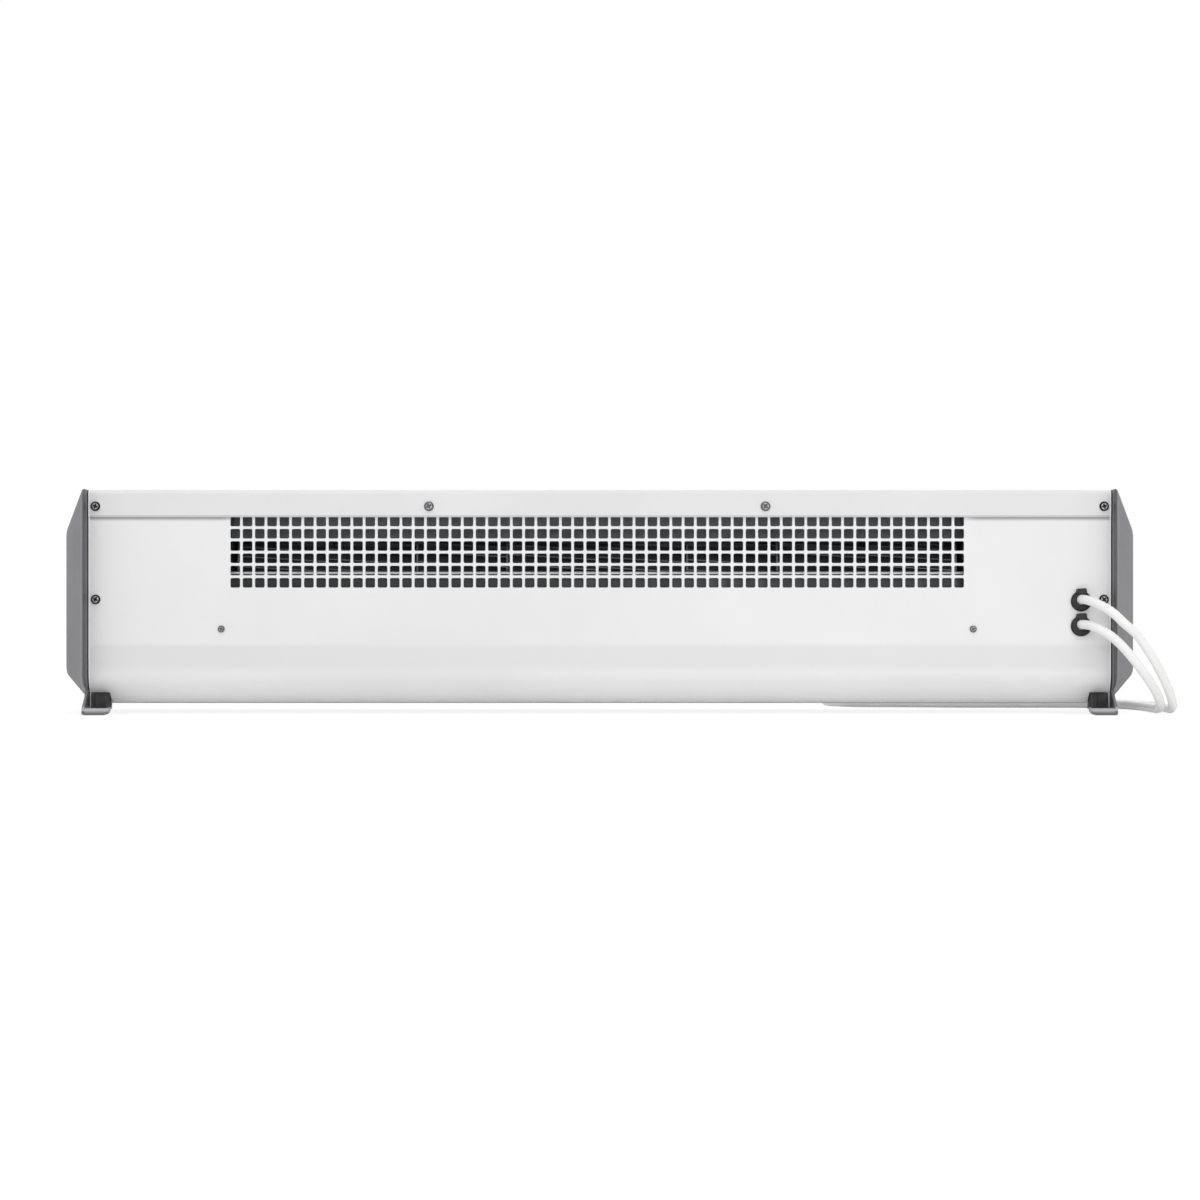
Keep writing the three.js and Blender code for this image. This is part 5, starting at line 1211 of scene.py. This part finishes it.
# Radii of the rings of a screw's head, as shares of the head's radius
HEAD_RINGS = [0.02, 0.08, 0.14, 0.2, 0.26, 0.32, 0.38, 0.45, 0.52]
HEAD_RINGS += [0.6, 0.68, 0.76, 0.83, 0.89, 0.94, 0.975, 1.0]
FIRST_RIM_RING = 10
HEAD_SIDES = 72
ARM_LENGTH = 0.56
ARM_HALF_WIDTH = 0.13


def recess_arm(along, across):
    """1 inside one arm of the cross recess and 0 outside, with sloping walls."""
    past_tip = smoothstep(along, ARM_LENGTH - 0.12, ARM_LENGTH)
    beside = smoothstep(across, ARM_HALF_WIDTH - 0.04, ARM_HALF_WIDTH + 0.05)
    return (1 - past_tip) * (1 - beside)


def pan_head(node, shade_finish, turn):
    """A pan-head screw as rings of points about its axis: the head's height stays nearly flat to
    half its radius and falls to the sheet along a quarter ellipse, less a cross recess whose two
    arms narrow and rise towards their ends. Below the head the shank goes to a short point. The
    recess and the head's rim take the shade finish, a darker tone that is painted shade; the rest
    is zinc."""
    low, high = box_mm(node)
    centre = (low + high) / 2
    radius = (high[0] - low[0]) / 2
    tall = 2.6 if radius > 4 else 2.0
    edge_height = 0.12
    crown = 0.15
    recess_depth = 0.6
    seat = low[1] + tall
    shank = radius * 0.44
    point_length = 2
    angles = full_turn(HEAD_SIDES)
    share = np.array(HEAD_RINGS)[:, None]
    fall = np.clip((share - 0.5) / 0.5, 0, 1)
    ellipse = np.sqrt(1 - fall**2)
    dome = tall * (edge_height + (1 - edge_height) * ellipse) - crown * share**2
    u = share * np.abs(np.cos(angles + turn))
    v = share * np.abs(np.sin(angles + turn))
    heart = 1 - smoothstep(share, 0.16, 0.3)
    cross = np.maximum(np.maximum(recess_arm(u, v), recess_arm(v, u)), heart)
    recess = cross * tall * recess_depth * (1 - 0.5 * share)
    length = high[1] - seat
    tip = shank * 0.3
    behind = [[radius, 0], [shank, 0], [shank, length - point_length], [tip, length]]
    behind = np.array(behind)
    reach = np.vstack([radius * share, behind[:, :1]])
    depth = np.vstack([recess - dome, np.repeat(behind[:, 1:], HEAD_SIDES, 1)])
    x = centre[0] + reach * np.cos(angles)
    z = centre[2] + reach * np.sin(angles)
    skin, groups = loft(np.stack([x, seat + depth, z], 2))
    quads, *ends = facing_out(skin, groups)
    in_head = quads.max(1) < recess.size
    deep = np.zeros(len(quads), bool)
    deep[in_head] = recess.ravel()[quads[in_head]].mean(1) > tall * 0.3
    # The recess and the falling rim take the shade finish: painted shade.
    rim = (quads.min(1) // HEAD_SIDES >= FIRST_RIM_RING) & in_head
    dark = deep | rim
    faces = [(quads[dark], shade_finish), (quads[~dark], ZINC), *[(end, ZINC) for end in ends]]
    mesh = new_mesh(node + "_head", skin, faces)
    mesh.set_sharp_from_angle(angle=math.radians(50))
    stand_for(add_object(node + "_head", mesh), [node])


pan_head("cover_screw_1", ZINC_DEEP_SHADE, 0.3)
pan_head("cover_screw_2", ZINC_SHADE, 1.1)
pan_head("cover_screw_3", ZINC_SHADE, 0.7)
pan_head("cover_screw_4", ZINC_DEEP_SHADE, 1.3)
pan_head("side_screw_left", ZINC_DEEP_SHADE, 0.5)
pan_head("side_screw_right", ZINC_DEEP_SHADE, 0.9)
pan_head("bulkhead_screw_left", ZINC_SHADE, 0.2)
pan_head("bulkhead_screw_right", ZINC_SHADE, 1.0)


def cord_bushing(name, node, wedge_node):
    """A strain-relief bushing: rings round the cord whose outer ones stand lower than the cord,
    because the wedge takes the room above it, and the wedge with its thumb edge."""
    low, high = box_mm(node)
    x = (low[0] + high[0]) / 2
    z = (low[2] + high[2]) / 2
    flange = (high[0] - low[0]) / 2
    face = low[1]
    bore = CORD_RADIUS + 0.4
    neck = 7.8
    drop = 1.2
    back = PANEL_Y - SEAT_GAP
    # Radius, y, and the share of the drop
    stations = [
        (bore, face + 0.5, 0),
        (bore + 0.4, face + 0.1, 0),
        (bore + 1.1, face, 0.1),
        (flange - 2.2, face + 0.15, 0.8),
        (flange - 1, face + 0.5, 1),
        (flange - 0.3, face + 1.1, 1),
        (flange, face + 1.9, 1),
        (flange, back - 0.3, 1),
        (flange - 0.3, back, 1),
        (neck, back, 0),
        (neck, high[1] - 0.5, 0),
        (neck - 0.5, high[1], 0),
        (bore, high[1], 0),
    ]
    radius, y, shift = np.array(stations).T[:, :, None]
    angles = full_turn(64)
    ring_x = x + radius * np.cos(angles)
    ring_z = z - drop * shift + radius * np.sin(angles)
    skin = loft(np.stack([ring_x, y + 0 * ring_x, ring_z], 2), wrap=True)
    make_piece(name, [(skin, BLACK_NYLON)], replaced=[node])
    low, high = box_mm(wedge_node)
    thumb = [
        (low[0] - 1.2, low[2] + 1.2, 0.6),
        (low[0] - 0.6, high[2] - 0.6, 1.4),
        (high[0] + 0.6, high[2], 1.2),
        (high[0] + 1.2, low[2] + 1.2, 0.6),
        (high[0] - 1, low[2] - 0.2, 0.5),
        (low[0] + 1, low[2] - 0.2, 0.5),
    ]
    bottom, top = low[2] + 0.2, low[2] + 1.9
    stem = [(x - 3, bottom, 0.4), (x - 3, top, 0.4), (x + 3, top, 0.4), (x + 3, bottom, 0.4)]
    wedge = prism(rounded_path(thumb, closed=True), 1, [low[1], back])
    inside = prism(rounded_path(stem, closed=True), 1, [back - 1, high[1]])
    parts = [(wedge, BLACK_NYLON), (inside, BLACK_NYLON)]
    make_piece(name + "_wedge", parts, replaced=[wedge_node], bevel=0.3)


cord_bushing("supply_strain_relief", "supply_bushing", "supply_bushing_wedge")
cord_bushing("control_strain_relief", "control_bushing", "control_bushing_wedge")


# ---------------------------------------------------------------- air path


def duct_sheet(name, path, thickness, material, node):
    """A sheet of the air duct between the two bulkheads."""
    ends = [WORKS_LEFT + SEAT_GAP, WORKS_RIGHT - SEAT_GAP]
    parts = [(bent_sheet(path, thickness, ends), material)]
    make_piece(name, parts, replaced=[node], bevel=0.2)


def scroll_sheet():
    """The scroll: its radius about the fan stays fan plus gap and grows evenly to the front,
    then the sheet drops to the outlet and folds onto the case's bottom."""
    start = math.atan2(25, -42)
    end = math.radians(-20)
    gap = 5
    growth = 17
    angle = np.linspace(start, end, 49)
    radius = FAN_RADIUS + gap + growth * np.minimum(1, (start - angle) / start)
    curve = np.array([AXIS_Y, AXIS_Z]) + radius[:, None] * directions(angle)
    straight = [
        (*curve[-1], 0),
        (OUTLET_FRONT, CASE_BOTTOM + 30, 25),
        (OUTLET_FRONT, DUCT_FLOOR, 0.6),
        (OUTLET_FRONT + DUCT_FOLD, DUCT_FLOOR, 0),
    ]
    path = np.vstack([curve[:-1], rounded_path(straight)])
    duct_sheet("scroll_sheet", path, SHEET, SCROLL_STEEL, "duct_scroll")


def tongue_sheet():
    """The duct's rear wall: a folded lip close under the fan, then an easy curve down."""
    corners = [
        (LIP_Y - LIP_FOLD, LIP_Z - LIP_FOLD, 0),
        (LIP_Y - LIP_FOLD, LIP_Z, 2),
        (LIP_Y, LIP_Z, 2),
        (LIP_Y, LIP_Z - 26, 12),
        (OUTLET_REAR, CASE_BOTTOM + 50, 30),
        (OUTLET_REAR, DUCT_FLOOR, 0.6),
        (OUTLET_REAR - DUCT_FOLD, DUCT_FLOOR, 0),
    ]
    duct_sheet("rear_wall_sheet", rounded_path(corners), -SHEET, WALL_STEEL, "duct_rear_wall")


def fan_blades():
    """Forward-curved blades in sections between the rings. A blade's section runs outwards from
    about 34 mm to just inside the rings, leaning by a sweep that bows in the middle, and the whole
    section turns a little from one ring to the next."""
    inner = FAN_RADIUS - 10.6
    outer = FAN_RADIUS - 0.4
    half_thick = 0.5
    full_sweep = 0.24
    bow = 1.4
    skew = 0.12
    drum_turn = 0.06
    part = np.linspace(0, 1, 5)
    sweep = full_sweep * (part + bow * part * (1 - part))
    radius = inner + (outer - inner) * part
    middle = radius[:, None] * directions(sweep)
    section = np.vstack([offset_path(middle, half_thick), offset_path(middle, -half_thick)[::-1]])
    reach = np.hypot(section[:, 0], section[:, 1])
    lean = np.arctan2(section[:, 1], section[:, 0])
    span = (FAN_RIGHT - FAN_LEFT) / FAN_SECTIONS
    blade = np.arange(FAN_BLADES)[None, :, None, None] * 2 * math.pi / FAN_BLADES
    drum = np.arange(FAN_SECTIONS)[:, None, None, None]
    station = np.array([0, 1])[None, None, :, None]
    turn = blade + drum * drum_turn + station * skew + lean
    x = FAN_LEFT + (drum + station) * span + 0 * turn
    y = AXIS_Y + reach * np.cos(turn)
    z = AXIS_Z + reach * np.sin(turn)
    points = np.stack([x, y, z], -1)
    blank, groups = loft(np.zeros((2, len(section), 3)))
    starts = np.arange(FAN_BLADES * FAN_SECTIONS)[:, None, None] * len(blank)
    tiled = [(group[None] + starts).reshape(-1, group.shape[1]) for group in groups]
    return points.reshape(-1, 3), tiled


def collar_profile(start, end, inner, outer):
    """The profile of a plain ring or pin between two stations."""
    return [(start, inner), (start, outer), (end, outer), (end, inner)]


def fan_wheel():
    """The impeller: blades, thin rings between them, and two end discs with their hubs."""
    axis = (AXIS_Y, AXIS_Z)
    skins = [fan_blades()]
    for index in range(1, FAN_SECTIONS):
        x = FAN_LEFT + (FAN_RIGHT - FAN_LEFT) * index / FAN_SECTIONS
        sides = (x - FAN_RING_HALF_WIDTH, x + FAN_RING_HALF_WIDTH)
        ring = collar_profile(*sides, FAN_RING_INNER, FAN_RADIUS)
        skins.append(turned(ring, axis, 64, wrap=True))
    rim = [(0, FAN_RADIUS - 0.5), (0.5, FAN_RADIUS), (2.5, FAN_RADIUS), (3, FAN_RADIUS - 0.5)]
    hub = [(3, 14), (5, 11), (13.4, 11), (14, 10.4)]
    bores = (SHAFT_RADIUS + SHAFT_PLAY, STUB_RADIUS + SHAFT_PLAY)
    for x, inward, bore in ((FAN_LEFT, 1, bores[0]), (FAN_RIGHT, -1, bores[1])):
        profile = [(0, bore), *rim, *hub, (14, bore)]
        disc = [(x + inward * depth, radius) for depth, radius in profile]
        skins.append(turned(disc, axis, 64, wrap=True))
    parts = [(skin, FAN_STRIP) for skin in skins]
    make_piece("crossflow_wheel", parts, "fan", ["fan_impeller"], sharp=40)


def finned_heater(index):
    """A sheathed rod with a thin strip wound edge-on round it as one helix, and ceramic-sealed
    terminal studs at its ends."""
    node = "heater_element_%d" % index
    low, high = box_mm(node)
    left, right = low[0], high[0]
    y = (low[1] + high[1]) / 2
    z = (low[2] + high[2]) / 2
    rod_left = left + HEATER_STUD_LENGTH
    rod_right = right - HEATER_STUD_LENGTH
    thin, thick = HEATER_STUD_RADIUS, HEATER_ROD_RADIUS
    rod = [(left, thin), (rod_left, thin), (rod_left, thick)]
    rod += [(rod_right, thick), (rod_right, thin), (right, thin)]
    seal_left = [(left + 6, 1.4), (left + 6, 3.4), (left + 9, 3.6), (left + 9, 1.4)]
    seal_right = [(right - 9, 1.4), (right - 9, 3.6), (right - 6, 3.4), (right - 6, 1.4)]
    start = WORKS_LEFT + 14
    end = WORKS_RIGHT - 14
    steps_a_turn = 14
    count = round((end - start) / HEATER_FIN_PITCH * steps_a_turn)
    part = np.linspace(0, 1, count + 1)[:, None]
    turn = part * 2 * math.pi * (end - start) / HEATER_FIN_PITCH
    fin_root = HEATER_ROD_RADIUS - 0.2
    radius = np.array([[fin_root, HEATER_FIN_RADIUS, HEATER_FIN_RADIUS, fin_root]])
    along = np.array([[-0.25, -0.2, 0.2, 0.25]])
    strip_x = start + 0.3 + (end - start - 0.6) * part + along
    strip = np.stack([strip_x, y + radius * np.cos(turn), z + radius * np.sin(turn)], 2)
    parts = [(turned(rod, (y, z), 20), HOT_STEEL), (loft(strip), HOT_STEEL)]
    parts += [(turned(seal, (y, z), 20), WHITE_NYLON) for seal in (seal_left, seal_right)]
    make_piece("finned_heater_%d" % index, parts, replaced=[node], sharp=50)


def guide_vane(index):
    """An outlet vane: a slim section, thickest above its middle, whose half thickness is a
    superellipse of the height, with a pivot pin at each end and the link's crank pin."""
    node = "outlet_vane_%d" % index
    low, high = box_mm(node)
    left = WORKS_LEFT + VANE_END_GAP
    right = WORKS_RIGHT - VANE_END_GAP
    y = (low[1] + high[1]) / 2
    pivot = VANE_PIVOT_Z
    turns = full_turn(40)
    rise = np.sin(turns)
    swell = np.sign(np.cos(turns)) * np.abs(np.cos(turns)) ** 0.7 * (1 + 0.15 * rise)
    section = np.stack([y + VANE_HALF_THICK * swell, pivot + VANE_CHORD / 2 * rise], 1)
    in_blade = 8
    pin = collar_profile(left - 7.5, left + in_blade, 0.9, VANE_PIN_RADIUS)
    far_pin = collar_profile(right - in_blade, high[0], 0.9, VANE_PIN_RADIUS)
    crank = collar_profile(left - 4, left + in_blade, 0.5, CRANK_PIN_RADIUS)
    skins = [
        prism(section, 0, [left, right]),
        turned(pin, (y, pivot), 20),
        turned(far_pin, (y, pivot), 20),
        turned(crank, (y, pivot + CRANK_RISE), 16),
    ]
    parts = [(skin, ALUMINIUM) for skin in skins]
    make_piece("guide_vane_%d" % index, parts, "vane_%d" % index, [node], sharp=40)


scroll_sheet()
tongue_sheet()
fan_wheel()
for number in (1, 2, 3):
    finned_heater(number)
    guide_vane(number)


# ---------------------------------------------------------------- motor, bearing and electrics


def turned_piece(name, node, profiles, material, body="case", wrap=False):
    """A piece turned about the fan's axis, in place of its CAD node."""
    parts = [(turned(profile, (AXIS_Y, AXIS_Z), 48, wrap), material) for profile in profiles]
    make_piece(name, parts, body, [node])


def rod_profile(start, end, radius, edge):
    """The profile of a rod whose two ends have sloping edges."""
    low = radius - edge
    return [(start, low), (start + edge, radius), (end - edge, radius), (end, low)]


def motor_shell():
    """The motor's shell: two end bells with rounded shoulders, and cooling ribs between, as a
    closed profile turned about the fan's axis, hollow for the rotor."""
    ribs = []
    rib_pitch = 5
    for index in range(9):
        x = MOTOR_LEFT + 20 + index * rib_pitch
        ribs += [(x, 42.6), (x + 0.6, 45), (x + 2.2, 45), (x + 2.8, 42.6)]
    # Distance from the bell's end, and radius
    bore = SHAFT_RADIUS + SHAFT_PLAY
    bell = [(0, bore), (0, 16), (1.5, 17.5), (3, 30), (5, 38), (8, 42), (12, 44.4), (17, 45)]
    hollow = [(8, 30), (8, bore)]
    profile = [
        *[(MOTOR_LEFT + away, radius) for away, radius in bell],
        *ribs,
        *[(MOTOR_RIGHT - away, radius) for away, radius in bell[::-1]],
        *[(MOTOR_RIGHT - away, radius) for away, radius in hollow[::-1]],
        *[(MOTOR_LEFT + away, radius) for away, radius in hollow],
    ]
    skin = turned(profile, (AXIS_Y, AXIS_Z), 72, wrap=True)
    parts = [(skin, ENAMEL)]
    make_piece("motor_shell", parts, replaced=["motor_housing"], sharp=38)


def shaft_pieces():
    """The rotor on its shaft, the stub shaft, the bearing and its rubber holder."""
    (left, _, _), (right, _, _) = box_mm("motor_rotor")
    core_left = MOTOR_LEFT + 12
    core_right = MOTOR_RIGHT - 12
    core = [(core_left, 6), *rod_profile(core_left, core_right, 29.4, 0.6), (core_right, 6)]
    rotor = [rod_profile(left, right, SHAFT_RADIUS, 0.6), core]
    turned_piece("rotor_on_shaft", "motor_rotor", rotor, GROUND_STEEL, "fan")
    (left, _, _), (right, _, _) = box_mm("fan_stub_shaft")
    stub = [rod_profile(left, right, STUB_RADIUS, 0.5)]
    turned_piece("stub_shaft", "fan_stub_shaft", stub, GROUND_STEEL, "fan")
    (left, _, _), (right, _, _) = box_mm("fan_bearing")
    bore = STUB_RADIUS + SHAFT_PLAY
    bush = [(left, bore + 0.3), *rod_profile(left, right, BEARING_RADIUS, 0.4)]
    bush += [(right, bore + 0.3), (right - 0.3, bore), (left + 0.3, bore)]
    turned_piece("bronze_bush", "fan_bearing", [bush], BRONZE, wrap=True)
    (left, _, _), (right, _, _) = box_mm("bearing_holder")
    flange = right - 2.5
    seat = BEARING_RADIUS + SEAT_GAP
    ring = [(left, seat), (left, 11), (left + 0.6, 11.6), (flange, 11.6), (flange, 15.4)]
    ring += [(flange + 0.6, 16), (right - 0.8, 16), (right, 15.2), (right, seat)]
    turned_piece("bearing_grommet", "bearing_holder", [ring], RUBBER, wrap=True)


def cutout_disc():
    """The thermal cutout: a moulded body with a metal sensing cap and a stepped rim."""
    low, high = box_mm("thermal_cutout")
    centre = ((low[1] + high[1]) / 2, (low[2] + high[2]) / 2)
    x = low[0]
    cap = [(x, 6.2), (x, 7.6), (x + 0.4, 8), (x + 2, 8), (x + 2, 7)]
    body = [(x + 1.5, 7.2), (x + 5, 7.2), (x + 5.6, 6.6), (high[0], 6.2)]
    parts = [(turned(cap, centre, 40), ALUMINIUM), (turned(body, centre, 40), BLACK_NYLON)]
    make_piece("thermal_switch", parts, replaced=["thermal_cutout"])


def keep_node(name, material, bevel):
    """A CAD node whose shape is right: its doubles merged, its edges rounded, and its finish."""
    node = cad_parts[name]
    node.data.materials.clear()
    node.data.materials.append(material)
    merge = node.modifiers.new("merged", "WELD")
    merge.merge_threshold = 1e-6
    dress(node, bevel)


motor_shell()
shaft_pieces()
cutout_disc()

KEPT_NODES = [
    (WHITE_STEEL, 0.2, ["end_plate_left", "end_plate_right"]),
    (WHITE_STEEL, 0.2, ["floor_plate_left", "floor_plate_right"]),
    (WHITE_STEEL, 0.3, ["outlet_frame"]),
    (GALVANISED, 0.2, ["bulkhead_left", "bulkhead_right", "electrics_plate"]),
    (GALVANISED, 0.3, ["motor_cradle", "motor_strap"]),
    (WHITE_NYLON, 2.5, ["motor_capacitor"]),
    (WHITE_NYLON, 0.4, ["terminal_block"]),
    (BOARD_GREEN, 0.2, ["control_board"]),
    (BLUE_CASE, 0.6, ["relay_1", "relay_2"]),
    (ALUMINIUM, 0.3, ["vane_link"]),
]
for kept_material, kept_bevel, kept_names in KEPT_NODES:
    for kept_name in kept_names:
        keep_node(kept_name, kept_material, kept_bevel)


# ---------------------------------------------------------------- floor, light and view

WHITE = (1, 1, 1, 1)


def looked_at(tree):
    """1 for the rays of the camera, of gloss and through glass, 0 for those that carry light."""
    rays = add_node(tree, "LightPath").outputs
    seen = maths(tree, "MAXIMUM", rays["Is Camera Ray"], rays["Is Glossy Ray"])
    return maths(tree, "MAXIMUM", seen, rays["Is Transmission Ray"])


def either(tree, factor, at_0, at_1):
    """One shader where the factor is 0, and the other where it is 1."""
    inputs = {0: factor, 1: at_0.outputs[0], 2: at_1.outputs[0]}
    return add_node(tree, "MixShader", inputs)


def studio_floor():
    """A pale floor, clear from below. Seen by the camera, in gloss or through glass it mostly
    glows at the background's white, with enough plain paint mixed in to keep the shadow."""
    half = 6.0
    mesh = bpy.data.meshes.new("studio_floor")
    corners = [(-half, -half, 0), (half, -half, 0), (half, half, 0), (-half, half, 0)]
    mesh.from_pydata(corners, [], [(0, 1, 2, 3)])
    floor = add_object("studio_floor", mesh)
    material = bpy.data.materials.new("pale_studio_floor")
    material.use_nodes = True
    tree = material.node_tree
    tree.nodes.clear()
    paint = add_node(tree, "BsdfDiffuse", {"Color": (0.88, 0.88, 0.88, 1)})
    thin_paint = add_node(tree, "BsdfDiffuse", {"Color": (0.16, 0.16, 0.16, 1)})
    glow = add_node(tree, "Emission", {"Color": WHITE, "Strength": 0.88})
    both = add_node(tree, "AddShader", {0: thin_paint.outputs[0], 1: glow.outputs[0]})
    from_above = either(tree, looked_at(tree), paint, both)
    from_below = add_node(tree, "NewGeometry").outputs["Backfacing"]
    one_sided = either(tree, from_below, from_above, add_node(tree, "BsdfTransparent"))
    add_node(tree, "OutputMaterial", {"Surface": one_sided.outputs[0]})
    mesh.materials.append(material)


def studio_world():
    """White where the camera, gloss and glass look; a plain grey dome as light."""
    dome_level = 0.62
    world = bpy.data.worlds.new("studio")
    bpy.context.scene.world = world
    world.use_nodes = True
    tree = world.node_tree
    tree.nodes.clear()
    dome = add_node(tree, "Background", {"Color": WHITE, "Strength": dome_level})
    white = add_node(tree, "Background", {"Color": WHITE, "Strength": 1})
    mix = either(tree, looked_at(tree), dome, white)
    add_node(tree, "OutputWorld", {"Surface": mix.outputs[0]})


def soft_sun(name, turn, lean, strength, spread):
    """A distant lamp as wide as a large soft box, with its heading and its lean from above."""
    data = bpy.data.lights.new(name, "SUN")
    data.energy = strength
    data.angle = math.radians(spread)
    lamp = add_object(name, data)
    lamp.rotation_euler = (math.radians(lean), 0, math.radians(turn))


def soft_box(name, place, width, height, power):
    """A lamp in metres and watts, upright, that faces the middle of the case."""
    data = bpy.data.lights.new(name, "AREA")
    data.shape = "RECTANGLE"
    data.size = width
    data.size_y = height
    data.energy = power
    lamp = add_object(name, data)
    lamp.location = place
    lamp.rotation_euler = (math.radians(90), 0, math.atan2(place[0], -place[1]))


studio_floor()
studio_world()
soft_box("key_light", place=(0.55, -2.8, 0.3), width=1.5, height=0.58, power=13.6)
soft_sun("top_light", turn=-10, lean=25, strength=0.8, spread=40)
soft_sun("back_light", turn=165, lean=50, strength=0.9, spread=50)

bpy.context.scene.view_settings.view_transform = "Standard"
